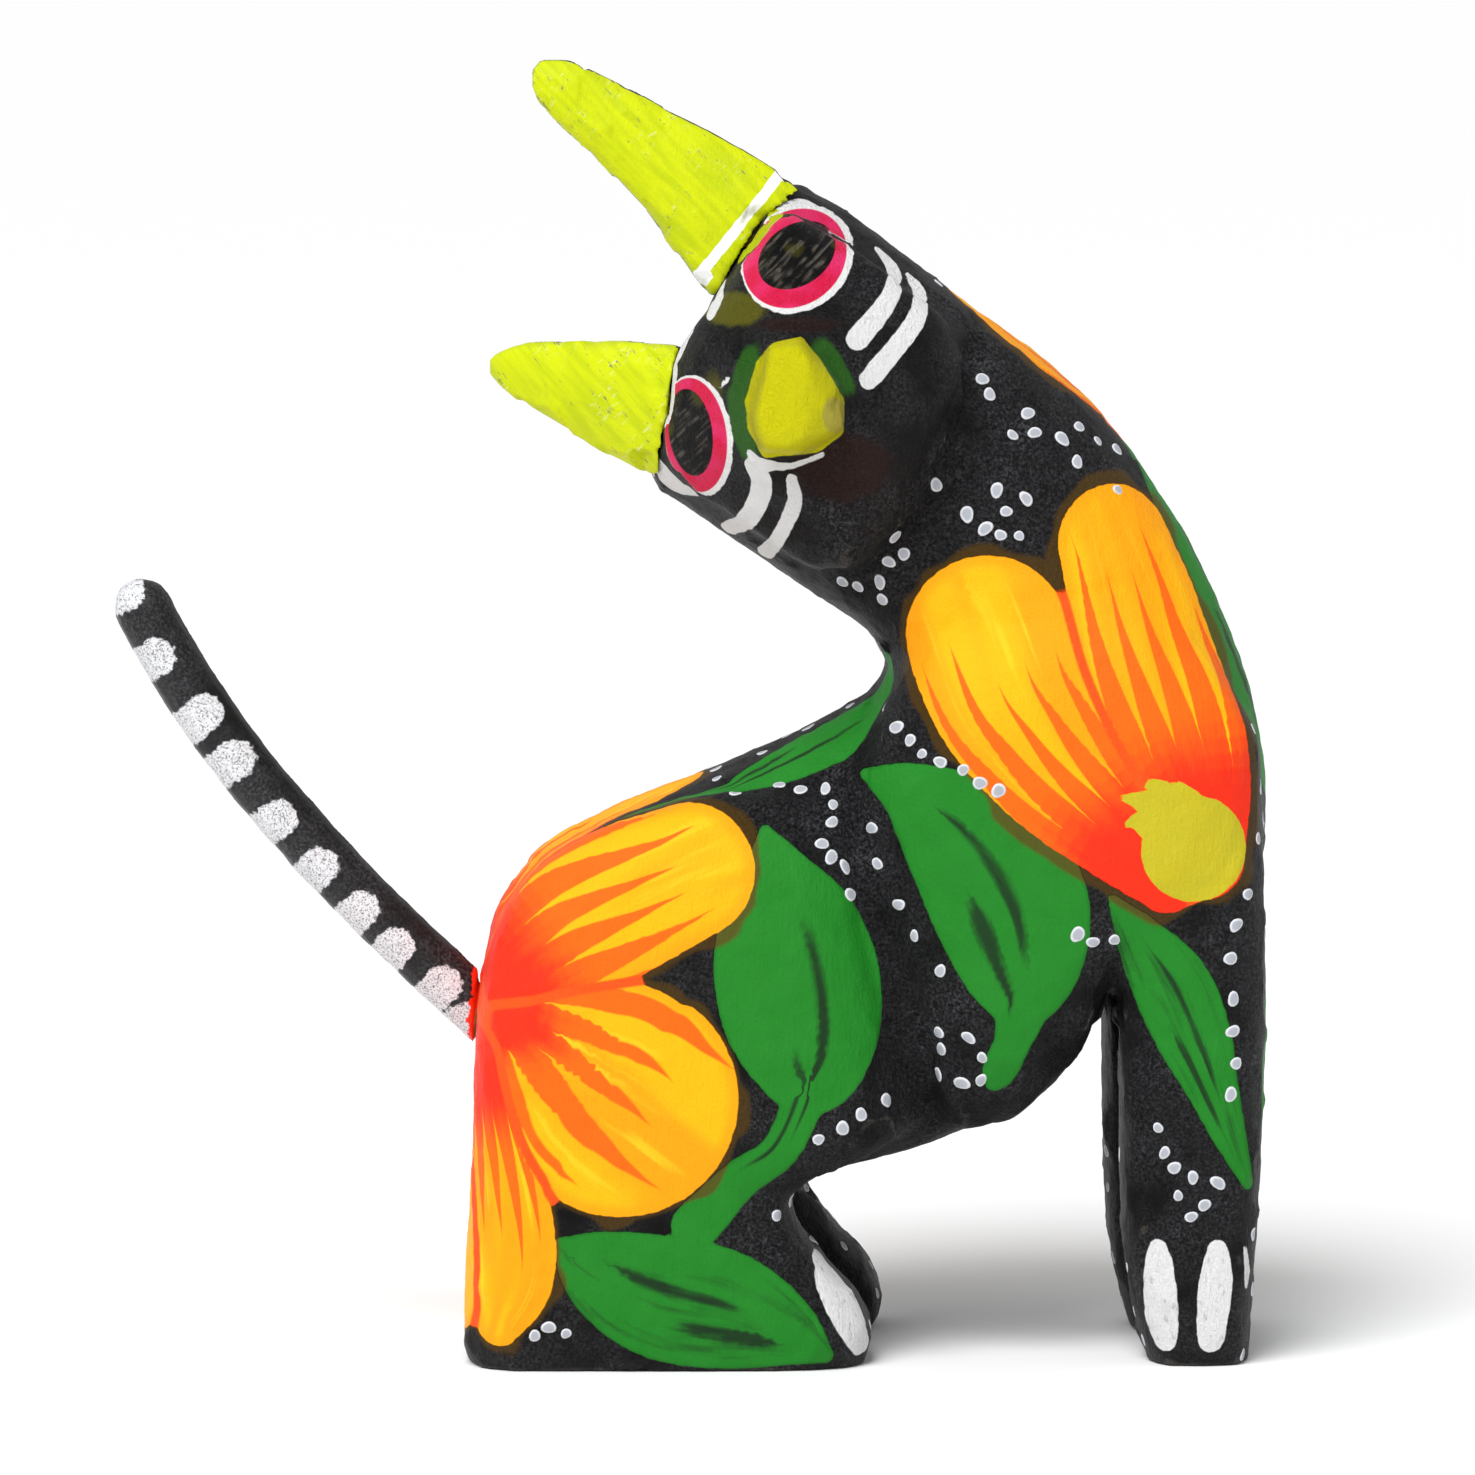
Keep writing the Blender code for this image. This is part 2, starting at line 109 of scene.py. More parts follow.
# Leaves run from the tip to the stalk, in the same two forms.
SIDE_LEAVES = [
    [(5.8, 40.6, 0.5), (6.9, 36.2, 3.1), (7.8, 31.6, 5.8), (8.6, 27.4, 6.3), (9.2, 23.4, 4.5),
     (8.8, 20.2, 1.9), (6.9, 16.0, 1.5), (3.8, 13.7, 1.6), (0.4, 10.2, 1.9)],
    [(-10.2, 8.8, 0.5), (-6.4, 6.4, 3.4), (-2.3, 4.7, 4.8), (2.3, 3.7, 4.7), (6.9, 2.2, 2.9),
     (10.4, 0.2, 0.7)],
    [(13.5, 45.0, 0.5), (17.4, 43.2, 2.6), (21.3, 39.8, 4.9), (24.4, 35.4, 6.0), (25.4, 31.2, 4.9),
     (25.5, 27.4, 2.4), (24.9, 24.6, 1.5), (23.9, 22.3, 1.4), (23.5, 21.4, 0.9)],
    [(32.5, 35.4, 0.4), (34.6, 32.4, 1.8), (37.0, 28.8, 3.0), (38.7, 25.0, 2.9), (40.1, 21.2, 2.1),
     (41.6, 17.0, 1.3), (43.0, 13.4, 0.5)],
]
BACK_LEAF = [
    (14.8, -1.8, 53.8, 0.4), (13.8, -2.6, 51.8, 1.6), (10.6, -3.6, 48.8, 3.0), (6.5, -4.2, 46.4, 2.4),
    (1.5, -4.8, 44.2, 0.8), (-4.6, -5.2, 41.6, 0.6),
]
CHEST_LEAF = [
    (33.2, 2.0, 70.2, 0.6), (37.4, 1.0, 64.0, 4.4), (41.4, 0.4, 57.0, 6.6), (43.8, 1.0, 50.0, 6.4),
    (44.4, 2.0, 44.0, 2.4), (44.4, 2.2, 41.0, 0.6),
]
LEG_LEAF = [
    (43.8, -4.6, 33.0, 0.5), (43.9, -4.8, 27.0, 2.8), (43.7, -4.8, 20.0, 3.2), (43.5, -4.8, 13.0, 0.8),
]
ROUND_LEAVES = [
    BACK_LEAF,
    mirrored(BACK_LEAF, middle=2.2),
    CHEST_LEAF,
    LEG_LEAF,
    mirrored(LEG_LEAF, shift=-0.4),
]
# The flower's heart on the shoulder: centre and radius, and the brush's slips beside it.
HEART = (38.8, 39.2, 4.05)
HEART_SLIPS = [
    [(36.9, 41.4, 1.5), (35.0, 42.8, 0.85), (33.0, 43.2, 0.1)],
    [(36.2, 40.4, 1.3), (34.6, 41.3, 0.7), (33.4, 41.0, 0.1)],
    [(37.4, 42.2, 1.3), (36.2, 43.7, 0.8), (35.0, 44.5, 0.1)],
    [(38.5, 42.6, 1.2), (37.8, 43.8, 0.5), (37.2, 44.5, 0.1)],
]

# The face's marks, all seen straight from the face's side: (x, z, half width).
WHITE_MARKS = [
    [(14.4, 85.4, 0.25), (15.7, 83.6, 0.6), (15.2, 81.4, 0.75), (12.9, 78.5, 0.9)],
    [(16.8, 83.4, 0.25), (17.7, 81.7, 0.6), (17.1, 79.5, 0.75), (13.8, 75.4, 0.8)],
    [(4.9, 68.7, 0.75), (5.5, 67.0, 0.85), (4.4, 64.6, 0.8), (3.0, 63.9, 0.7)],
    [(7.8, 67.7, 0.45), (8.0, 65.8, 0.6), (6.8, 63.2, 0.6), (5.8, 62.0, 0.7)],
    [(4.6, 69.7, 0.3), (5.4, 68.9, 0.5), (7.7, 68.7, 0.25), (10.2, 69.6, 0.2)],
    [(2.9, 84.2, 0.55), (2.2, 82.0, 0.7), (1.6, 80.4, 0.5)],
    [(0.0, 79.0, 0.3), (-1.4, 76.0, 0.45), (-2.3, 72.2, 0.5), (-3.0, 68.4, 0.6)],
    [(-2.5, 68.7, 0.8), (-1.2, 67.3, 0.85), (0.4, 66.6, 0.4)],
    [(6.9, 88.6, 0.3), (8.6, 88.9, 0.5), (10.6, 88.0, 0.4)],
    [(2.3, 74.8, 0.12), (2.9, 75.4, 0.2)],
]
LIME_MARKS = [[(7.0, 89.0, 0.5), (6.5, 87.8, 0.75), (5.0, 86.0, 0.85), (3.9, 84.7, 0.5)]]
WHITE_CLAWS = [
    [(36.0, 8.5, 0.7), (36.1, 6.5, 1.2), (36.3, 3.2, 1.3), (36.6, 1.4, 0.9)],
    [(40.6, 8.3, 0.8), (40.5, 6.0, 1.3), (40.2, 2.8, 1.2), (40.1, 1.4, 1.0)],
    [(42.7, 8.6, 0.15), (42.9, 6.8, 0.3), (42.8, 5.4, 0.15)],
    [(10.0, 7.7, 0.8), (11.0, 5.6, 1.3), (12.3, 2.9, 1.3), (13.1, 1.1, 0.9)],
]
# Each eye: its ring, its pupil and the white round the ring, each as centre, half length, half width and
# tilt from the x direction.
EYES = [
    dict(
        ring=((8.05, 84.7), (4.25, 3.60), 38.0),
        pupil=((8.20, 84.95), (3.25, 2.35), 34.0),
        white=((8.25, 84.65), (4.60, 3.95), 38.0),
    ),
    dict(
        ring=((0.36, 71.1), (4.45, 2.45), 98.0),
        pupil=((0.02, 71.3), (3.40, 1.70), 98.0),
        white=((0.50, 71.0), (4.75, 2.75), 98.0),
    ),
]
EYE_FACING = 0.36  # how squarely the head must face the eye's side to take its paint
EYE_TURN = 4.0
NOSE_OUTLINE = [
    (6.3, 78.2), (8.6, 78.7), (10.2, 76.7), (11.9, 73.8), (11.8, 71.2), (9.8, 69.7), (5.6, 69.3),
    (4.4, 71.6), (4.2, 73.8), (5.1, 76.8),
]
# Thin washes: centre (x, z), half size and strength.
GREEN_WASHES = [((4.2, 73.6), (2.0, 5.6), 1.0), ((11.3, 76.6), (2.4, 3.0), 1.0)]
OLIVE_WASHES = [((3.4, 80.8), (2.6, 1.5), 1.0), ((1.6, 74.2), (1.2, 2.6), 0.6)]
BROWN_WASHES = [((11.6, 68.6), (4.6, 3.2), 0.8), ((8.4, 79.6), (4.5, 0.8), 0.7)]
# Creases pressed into the block on both sides: paths in the picture plane and how deep each is.
CREASES = [
    ([(21.9, 80.0, 0.5), (21.4, 75.4, 1.5), (20.0, 71.0, 1.8), (17.4, 66.4, 1.5), (14.8, 62.2, 0.5)], 0.55),
    ([(12.2, 44.6, 0.8), (13.4, 38.0, 1.9), (15.2, 30.4, 2.2), (17.4, 23.4, 2.0), (18.8, 18.0, 1.0)], 0.70),
]
BEIGE_WASHES = [((11.1, 72.6), (1.1, 1.6), 1.0)]

# Dots of light grey paint run over the black in loose trails: each trail's path in the picture plane, how
# many dots it has, and how far they stray from it.
DOT_TRAILS = [
    ([(22.8, 75.2), (25.6, 72.4), (29.4, 70.2), (33.8, 68.4)], 11, 2.1),  # neck
    ([(19.2, 69.0), (21.2, 65.0), (25.2, 66.6), (27.4, 65.4), (24.4, 62.6)], 8, 1.4),
    ([(15.6, 64.4), (15.7, 61.4), (14.4, 59.0), (11.2, 59.2)], 7, 0.7),
    ([(15.4, 49.8), (16.8, 47.6), (20.2, 45.6), (24.2, 43.4)], 7, 0.5),  # under the bend
    ([(6.4, 43.6), (10.6, 43.8), (10.6, 40.2), (12.8, 35.4)], 9, 0.5),  # back
    ([(13.8, 42.6), (14.4, 38.8), (17.6, 31.8), (20.2, 28.8)], 5, 0.3),  # the flank's valley
    ([(18.6, 26.2), (19.4, 22.4), (22.2, 21.6), (21.8, 25.8)], 7, 0.5),
    ([(16.2, 20.0), (13.8, 19.4), (11.2, 17.0), (8.8, 16.4)], 4, 0.3),  # belly
    ([(7.4, 12.0), (6.4, 9.6)], 1, 0.2),
    ([(-12.8, 1.4), (-10.4, 2.4), (-8.2, 1.0)], 4, 0.3),  # hind foot
    ([(29.4, 32.6), (33.0, 31.8)], 3, 0.3),  # chest
    ([(36.0, 18.2), (37.2, 14.6), (40.6, 14.0), (39.4, 11.2), (37.2, 12.6)], 8, 0.7),  # front leg
    ([(43.1, 36.8), (41.4, 31.0), (42.0, 24.0), (41.6, 18.8)], 7, 0.3),
]
DOT_GAP = 1.25
# The rounded end of each silver patch, from the tip to the root; it runs from there to the lower edge.
TAIL_PATCHES = [
    (-43.4, 59.1), (-41.1, 54.0), (-37.4, 49.7), (-34.9, 46.2), (-31.7, 41.6), (-28.5, 37.9),
    (-25.4, 34.5), (-22.7, 31.7), (-19.0, 28.8), (-17.3, 25.9),
]
TAIL_PATCH_RADIUS = 1.5

DOT_RADIUS = 0.47
DOT_SIDES = 14
DOT_RISE = 0.08
SCATTERED_DOTS = 150  # on the sides that the face doesn't look to
SCATTER_GAP = 2.6
FACE_FOOT = 62.0  # the face's lowest point, above which no dot is scattered on it
DOTS_TOP = 84.0  # no dot is scattered higher


# ---------------------------------------------------------------------------------------------
# Carving


def mesh_points(mesh):
    """A mesh's vertices, in millimetres."""
    flat = np.empty(len(mesh.vertices) * 3, np.float32)
    mesh.vertices.foreach_get("co", flat)
    return flat.reshape(-1, 3).astype(float) / MM


def mesh_normals(mesh):
    """A mesh's vertex normals."""
    flat = np.empty(len(mesh.vertices) * 3, np.float32)
    mesh.vertex_normals.foreach_get("vector", flat)
    return flat.reshape(-1, 3).astype(float)


def set_points(mesh, points):
    """Moves a mesh's vertices, given in millimetres."""
    mesh.vertices.foreach_set("co", (points * MM).astype(np.float32).ravel())
    mesh.update()


def mesh_edges(mesh):
    """A mesh's edges as pairs of vertex numbers."""
    flat = np.empty(len(mesh.edges) * 2, np.int32)
    mesh.edges.foreach_get("vertices", flat)
    return flat.reshape(-1, 2)


def neighbour_mean(values, edges):
    """Each vertex's mean over its neighbours, of an array with one row for each vertex."""
    count = len(values)
    ends, others = np.concatenate([edges, edges[:, ::-1]]).T
    degree = np.maximum(np.bincount(ends, minlength=count), 1)
    columns = [np.bincount(ends, weights=values[others, k], minlength=count) for k in range(values.shape[1])]
    return np.stack(columns, axis=1) / degree[:, None]


def smoothed(points, edges, rounds, freedom):
    """Points rubbed smooth without shrinking. `freedom` is 1 where a point may move and 0 where not."""
    for _ in range(rounds):
        for push in (0.5, -0.52):
            points = points + push * freedom[:, None] * (neighbour_mean(points, edges) - points)
    return points


def surface_tree(mesh):
    """A search tree over a mesh's faces, in millimetres."""
    points = [v.co / MM for v in mesh.vertices]
    return bvhtree.BVHTree.FromPolygons(points, [p.vertices[:] for p in mesh.polygons])


def fine_copy(node, name, voxel):
    """A finely and evenly divided copy of a node of the frame."""
    mesh = node.data.copy()
    mesh.materials.clear()
    builder = bmesh.new()
    builder.from_mesh(mesh)
    bmesh.ops.remove_doubles(builder, verts=builder.verts, dist=1e-6)
    builder.to_mesh(mesh)
    builder.free()
    obj = bpy.data.objects.new(name, mesh)
    bpy.context.scene.collection.objects.link(obj)
    divide = obj.modifiers.new("divide", "REMESH")
    divide.mode = "VOXEL"
    divide.voxel_size = voxel * MM
    graph = bpy.context.evaluated_depsgraph_get()
    obj.data = bpy.data.meshes.new_from_object(obj.evaluated_get(graph))
    obj.modifiers.clear()
    obj.data.shade_smooth()
    return obj


def knife_facets(points, normals, spacing, strength, seed):
    """Points pressed part of the way onto the flats that a knife leaves, in cells of about one size."""
    chooser = random.Random(seed)
    order = list(range(len(points)))
    chooser.shuffle(order)
    tree = kdtree.KDTree(len(points))
    for i, p in enumerate(points):
        tree.insert(p, i)
    tree.balance()
    free = np.ones(len(points), bool)
    centres = []
    for i in order:
        if free[i]:
            centres.append(i)
            near = [found[1] for found in tree.find_range(points[i], spacing * 0.72)]
            free[near] = False
    cells = kdtree.KDTree(len(centres))
    for k, i in enumerate(centres):
        cells.insert(points[i], k)
    cells.balance()
    owner = np.array([cells.find(p)[1] for p in points])
    middle = points[centres][owner]
    facing = normals[centres][owner]
    height = ((points - middle) * facing).sum(axis=1)
    return points - (strength * height)[:, None] * facing


def wobble(points, scale, seed):
    """Smooth noise from -1 to 1 at each point, with features about `scale` millimetres across."""
    offset = Vector((seed * 13.7, seed * 5.1, seed * 9.3))
    return np.array([noise.noise(Vector(p) / scale + offset) for p in points])


def notched(points):
    """Points round the belly's notch drawn up, so that it ends as sharply as a saw cut."""
    lift = NOTCH_LIFT * np.interp(points[:, 2], NOTCH_HEIGHTS, (0.0, 1.0, 0.0))
    lift *= np.exp(-(((points[:, 0] - NOTCH_X) / NOTCH_WIDTH) ** 2))
    return points + lift[:, None] * np.array((0.0, 0.0, 1.0))


def keep_in_box(points, node_name):
    """Points held inside the frame node's box."""
    low, high = (np.array(corner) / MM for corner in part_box(node_name))
    return np.clip(points, low, high)


# ---------------------------------------------------------------------------------------------
# Strokes


def curve_through(points, steps=6):
    """A smooth row of points through a few given ones, whose last number is the half width."""
    rows = np.array(points, float)
    ends = np.vstack([2 * rows[0] - rows[1], rows, 2 * rows[-1] - rows[-2]])
    out = []
    for p0, p1, p2, p3 in zip(ends, ends[1:], ends[2:], ends[3:]):
        for k in range(steps):
            t = k / steps
            out.append(
                0.5 * (2 * p1 + (p2 - p0) * t + (2 * p0 - 5 * p1 + 4 * p2 - p3) * t**2
                       + (3 * p1 - p0 - 3 * p2 + p3) * t**3)
            )
    out.append(rows[-1])
    out = np.array(out)
    out[:, -1] = np.maximum(out[:, -1], 0.05)
    return out


def camera_axes():
    """The camera's place in millimetres, and its right, up and forward directions."""
    rise = math.radians(CAMERA_ELEVATION)
    forward = Vector((0, math.cos(rise), -math.sin(rise)))
    up = Vector((0, math.sin(rise), math.cos(rise)))
    eye = (Vector(CAMERA_TARGET_M) - forward * CAMERA_DISTANCE_M) / MM
    return eye, Vector((1, 0, 0)), up, forward


def cast(tree, x, height, side):
    """Where the line of sight through a place in the picture plane meets the body, and the normal there.

    From the far side (1), the line is level instead.
    """
    if side > 0:
        start, direction = Vector((x, 80.0, height)), Vector((0, -1, 0))
    else:
        start, right, up, forward = camera_axes()
        place = right * (x - PICTURE_MIDDLE[0]) + up * (height - PICTURE_MIDDLE[1])
        direction = (place + forward * (CAMERA_DISTANCE_M / MM)).normalized()
    hit, normal, _, _ = tree.ray_cast(start, direction)
    if hit is None:
        return tree.find_nearest(Vector((x, MID_Y + side * 8.0, height)))[:2]
    return hit, normal


def side_stroke(tree, points, side):
    """A stroke on one side of the body, -1 for the face's side: (x, height, half width) onto the surface."""
    return np.array([(*cast(tree, x, h, side)[0], width) for x, h, width in curve_through(points)])


def round_stroke(tree, points):
    """A stroke anywhere: (x, y, z, half width) onto the nearest surface."""
    path = []
    for x, y, z, width in curve_through(points):
        path.append((*tree.find_nearest(Vector((x, y, z)))[0], width))
    return np.array(path)


def stroke_field(path, points, normals, side=0):
    """How far each point is inside a stroke, its place along it and its place across it.

    A stroke laid on one side of the body counts depth for less, so that it keeps its outline as seen from
    that side, and it stops where the surface turns away.
    """
    inside = np.full(len(points), -REACH)
    along = np.zeros(len(points))
    across = np.zeros(len(points))
    depth = np.array([1.0, DEPTH_SHARE if side else 1.0, 1.0])
    reach = (REACH + path[:, 3].max()) / depth
    low = path[:, :3].min(axis=0) - reach
    high = path[:, :3].max(axis=0) + reach
    picked = np.flatnonzero(((points > low) & (points < high)).all(axis=1))
    if not len(picked):
        return inside, along, across
    p = points[picked] * depth
    n = normals[picked]
    line = path[:, :3] * depth
    best = np.full(len(picked), -REACH)
    best_along = np.zeros(len(picked))
    best_across = np.zeros(len(picked))
    last = len(line) - 2
    lengths = np.linalg.norm(np.diff(line, axis=0), axis=1)
    starts = np.concatenate([[0.0], np.cumsum(lengths)])
    whole = starts[-1] + path[-1, 3]
    for k in range(last + 1):
        step = line[k + 1] - line[k]
        free = (p - line[k]) @ step / max(step @ step, 1e-9)
        t = np.clip(free, 0, 1)
        distance = np.linalg.norm(p - line[k] - t[:, None] * step, axis=1)
        width = path[k, 3] + t * (path[k + 1, 3] - path[k, 3])
        if k == last:
            t = np.maximum(free, 0)
        beside = p - line[k] - t[:, None] * step
        hand = np.sign((np.cross(step, beside) * n).sum(axis=1))
        f = width - distance
        better = f > best
        best[better] = f[better]
        best_along[better] = ((starts[k] + t * lengths[k]) / whole)[better]
        best_across[better] = (hand * np.linalg.norm(beside, axis=1) / np.maximum(width, 0.3))[better]
    if side:
        best = np.minimum(best, 5.0 * (n[:, 1] * side + 0.45))
        best = np.minimum(best, 3.0 * ((points[picked, 1] - MID_Y) * side - 0.2))
    inside[picked] = best
    along[picked] = best_along
    across[picked] = np.clip(best_across, -3, 3)
    return inside, along, across


def layer(strokes, points, normals):
    """A layer of (path, side) strokes: how far inside the nearest one, the places along and across it,
    its number, and how far the second nearest falls behind."""
    total = np.full(len(points), -REACH)
    second = np.full(len(points), -REACH)
    along, across, number = np.zeros(len(points)), np.zeros(len(points)), np.zeros(len(points))
    for k, (path, side) in enumerate(strokes):
        f, a, c = stroke_field(path, points, normals, side)
        better = f > total
        second = np.where(better, total, np.maximum(second, f))
        total[better] = f[better]
        along[better] = a[better]
        across[better] = c[better]
        number[better] = k + 1
    return total, along, across, number, total - second


def picture_places(points):
    """Each point's x and height in the picture plane, and how far it is on the face's side."""
    eye, right, up, forward = (np.array(v) for v in camera_axes())
    away = points - eye
    scale = CAMERA_DISTANCE_M / MM / (away @ forward)
    x = PICTURE_MIDDLE[0] + (away @ right) * scale
    height = PICTURE_MIDDLE[1] + (away @ up) * scale
    return x, height, MID_Y - points[:, 1]


def ellipse_field(points, normals, centre, radii, tilt):
    """How far each point is inside an ellipse, about, as seen from the face's side.

    It stops where the surface turns away, so that a round mark doesn't run down the side of the head.
    """
    x, z, out = picture_places(points)
    facing = normals @ -np.array(camera_axes()[3])
    turn = math.radians(tilt)
    dx, dz = x - centre[0], z - centre[1]
    u = dx * math.cos(turn) + dz * math.sin(turn)
    v = -dx * math.sin(turn) + dz * math.cos(turn)
    r = np.sqrt((u / radii[0]) ** 2 + (v / radii[1]) ** 2)
    steep = np.sqrt((u / radii[0] ** 2) ** 2 + (v / radii[1] ** 2) ** 2) / np.maximum(r, 1e-6)
    field = (1 - r) / np.maximum(steep, 1e-6)
    field = np.minimum(field, EYE_TURN * (facing - EYE_FACING))
    return np.where(out > 1.0, np.maximum(field, -9.0), -9.0)


def polygon_field(points, outline):
    """How far each point is inside a convex clockwise outline, as seen from the face's side."""
    x, z, out = picture_places(points)
    field = np.full(len(points), 9.0)
    for (x0, z0), (x1, z1) in zip(outline, outline[1:] + outline[:1]):
        length = math.hypot(x1 - x0, z1 - z0)
        field = np.minimum(field, ((x - x0) * (z1 - z0) - (z - z0) * (x1 - x0)) / length)
    return np.where(out > 8.0, field, -9.0)


def wash_field(points, washes):
    """The strength, from 0 to 1, of soft washes of thin paint on the face's side."""
    x, z, out = picture_places(points)
    total = np.zeros(len(points))
    for (cx, cz), (rx, rz), strength in washes:
        r2 = ((x - cx) / rx) ** 2 + ((z - cz) / rz) ** 2
        total = np.maximum(total, strength * np.exp(-(r2**2)))
    return np.where(out > 1.0, total, 0.0)


def give(mesh, name, *columns):
    """Stores one number, or three, for each vertex under a name that the materials read."""
    if len(columns) == 1:
        attribute = mesh.attributes.new(name, "FLOAT", "POINT")
        attribute.data.foreach_set("value", columns[0].astype(np.float32))
    else:
        attribute = mesh.attributes.new(name, "FLOAT_VECTOR", "POINT")
        attribute.data.foreach_set("vector", np.stack(columns, axis=1).astype(np.float32).ravel())


# ---------------------------------------------------------------------------------------------
# Paint and wood


def srgb(red, green, blue):
    """A colour given as it looks on a screen, from 0 to 255."""
    linear = [(v / 255 / 12.92) if v < 11 else ((v / 255 + 0.055) / 1.055) ** 2.4 for v in (red, green, blue)]
    return (*linear, 1.0)


BLACK = srgb(5, 5, 6)
# These two greys make the black's specks: partly worn paint and dust, partly painted glints and sheen for the
# light on its fuzz. The second also shows through thin white claws and between the tail's glitter.
WORN_AND_GLINT_GREY = srgb(60, 60, 63)
MID_GREY = srgb(92, 92, 96)
SCUFF = srgb(104, 98, 90)
RAW_WOOD = srgb(196, 160, 112)
RAW_WOOD_DARK = srgb(150, 112, 70)
LEAF_GREEN = srgb(22, 122, 26)
LEAF_PALE = srgb(34, 132, 38)
LEAF_DARK = srgb(18, 38, 20)
HALO_BROWN = srgb(86, 62, 14)
PETAL_ORANGE = srgb(249, 160, 2)
PETAL_YELLOW = srgb(250, 182, 3)
PETAL_PALE = srgb(250, 200, 30)
SPIKE_ORANGE = srgb(249, 104, 8)
SPIKE_RED = srgb(249, 82, 16)
SPIKE_CORAL = srgb(245, 46, 16)
HEART_YELLOW = srgb(202, 184, 28)
HEART_GREEN = srgb(186, 180, 40)
WHITE = srgb(255, 255, 255)
DOT_GREY = srgb(166, 170, 178)
DOT_RIM = srgb(214, 216, 220)
LIME = srgb(202, 214, 2)
LIME_PALE = srgb(222, 226, 150)
LIME_DEEP = srgb(184, 200, 2)
NOSE_YELLOW = srgb(222, 217, 2)
NOSE_SHADED_OLIVE = srgb(192, 187, 6)
NOSE_BEIGE = srgb(176, 164, 70)
HALO_GREEN = srgb(48, 108, 26)
OLIVE_WASH = srgb(104, 102, 14)
CHEEK_BROWN = srgb(44, 22, 18)
PINK = srgb(250, 52, 118)
PINK_RED = srgb(236, 30, 80)
SILVER = srgb(226, 227, 230)


class Finish:
    """One painted material, built up in coats on a Principled surface."""

    def __init__(self, name, specular=0.5):
        self.material = bpy.data.materials.new(name)
        self.material.use_nodes = True
        self.tree = self.material.node_tree
        self.surface = self.tree.nodes["Principled BSDF"]
        self.surface.inputs["Specular IOR Level"].default_value = specular
        self.where = self.node("ShaderNodeTexCoord").outputs["Object"]

    def node(self, kind, **settings):
        made = self.tree.nodes.new(kind)
        for name, value in settings.items():
            setattr(made, name, value)
        return made

    def plug(self, socket, value):
        """Links an output to a socket, or sets the socket to a plain value."""
        if isinstance(value, bpy.types.NodeSocket):
            self.tree.links.new(value, socket)
        else:
            socket.default_value = value

    def number(self, name):
        """The value stored on the mesh under a name."""
        return self.node("ShaderNodeAttribute", attribute_name=name).outputs["Fac"]

    def parts(self, name):
        """The three values stored on the mesh under a name."""
        split = self.node("ShaderNodeSeparateXYZ")
        self.plug(split.inputs[0], self.node("ShaderNodeAttribute", attribute_name=name).outputs["Vector"])
        return split.outputs[0], split.outputs[1], split.outputs[2]

    def math(self, operation, first, second=0.0, third=0.0):
        made = self.node("ShaderNodeMath", operation=operation)
        for socket, value in zip(made.inputs, (first, second, third)):
            self.plug(socket, value)
        return made.outputs[0]

    def combine(self, x, y, z=0.0):
        made = self.node("ShaderNodeCombineXYZ")
        for socket, value in zip(made.inputs, (x, y, z)):
            self.plug(socket, value)
        return made.outputs[0]

    def step(self, value, low, high):
        """0 below `low`, 1 above `high`, and smooth between."""
        made = self.node("ShaderNodeMapRange", interpolation_type="SMOOTHSTEP")
        for name, given in (("Value", value), ("From Min", low), ("From Max", high)):
            self.plug(made.inputs[name], given)
        return made.outputs[0]

    def stretched(self, x, y, z):
        """Object coordinates in millimetres, divided by a grain's length along each axis."""
        made = self.node("ShaderNodeVectorMath", operation="MULTIPLY")
        self.plug(made.inputs[0], self.where)
        made.inputs[1].default_value = (1 / MM / x, 1 / MM / y, 1 / MM / z)
        return made.outputs[0]

    def slanted(self, length, width):
        """Coordinates for scratches that rise to the right, of about a length and width in millimetres."""
        split = self.node("ShaderNodeSeparateXYZ")
        self.plug(split.inputs[0], self.where)
        up_right = self.add(split.outputs[0], split.outputs[2])
        up_left = self.less(split.outputs[2], split.outputs[0])
        half_root = math.sqrt(0.5) / MM
        return self.combine(self.both(up_right, half_root / length), self.both(up_left, half_root / width))

    def noise(self, size=None, where=None, detail=2.0, roughness=0.5):
        """Noise from 0 to 1 with spots about `size` millimetres across, or over given coordinates."""
        made = self.node("ShaderNodeTexNoise")
        self.plug(made.inputs["Vector"], where or self.stretched(size, size, size))
        made.inputs["Scale"].default_value = 1.0
        made.inputs["Detail"].default_value = detail
        made.inputs["Roughness"].default_value = roughness
        return made.outputs["Fac"]

    def mix(self, share, under, over):
        made = self.node("ShaderNodeMix", data_type="RGBA")
        self.plug(made.inputs[0], share)
        self.plug(made.inputs[6], under)
        self.plug(made.inputs[7], over)
        return made.outputs[2]

    def mix_number(self, share, under, over):
        made = self.node("ShaderNodeMix", data_type="FLOAT")
        self.plug(made.inputs[0], share)
        self.plug(made.inputs[2], under)
        self.plug(made.inputs[3], over)
        return made.outputs[0]

    def both(self, first, second):
        return self.math("MULTIPLY", first, second)

    def add(self, first, second):
        return self.math("ADD", first, second)

    def less(self, first, second):
        return self.math("SUBTRACT", first, second)

    def centred(self, cloud, strength):
        """Noise moved to run either side of 0, at a strength."""
        return self.both(self.less(cloud, 0.5), strength)

    def edge(self, inside, ragged=0.0):
        """A coat's cover, from how far inside its outline a point is and how ragged the outline is."""
        return self.step(self.add(inside, ragged), -0.03, 0.06)

    def brushed(self, stroke, fineness, detail=2.0):
        """Noise drawn out along a stroke: a fineness for each of its across, along and number."""
        places = [self.both(value, fine) for value, fine in zip(stroke, fineness)]
        return self.noise(where=self.combine(*places), detail=detail)

    def bump(self, height, distance, under=None):
        made = self.node("ShaderNodeBump")
        made.inputs["Distance"].default_value = distance * MM
        self.plug(made.inputs["Height"], height)
        if under is not None:
            self.plug(made.inputs["Normal"], under)
        return made.outputs[0]

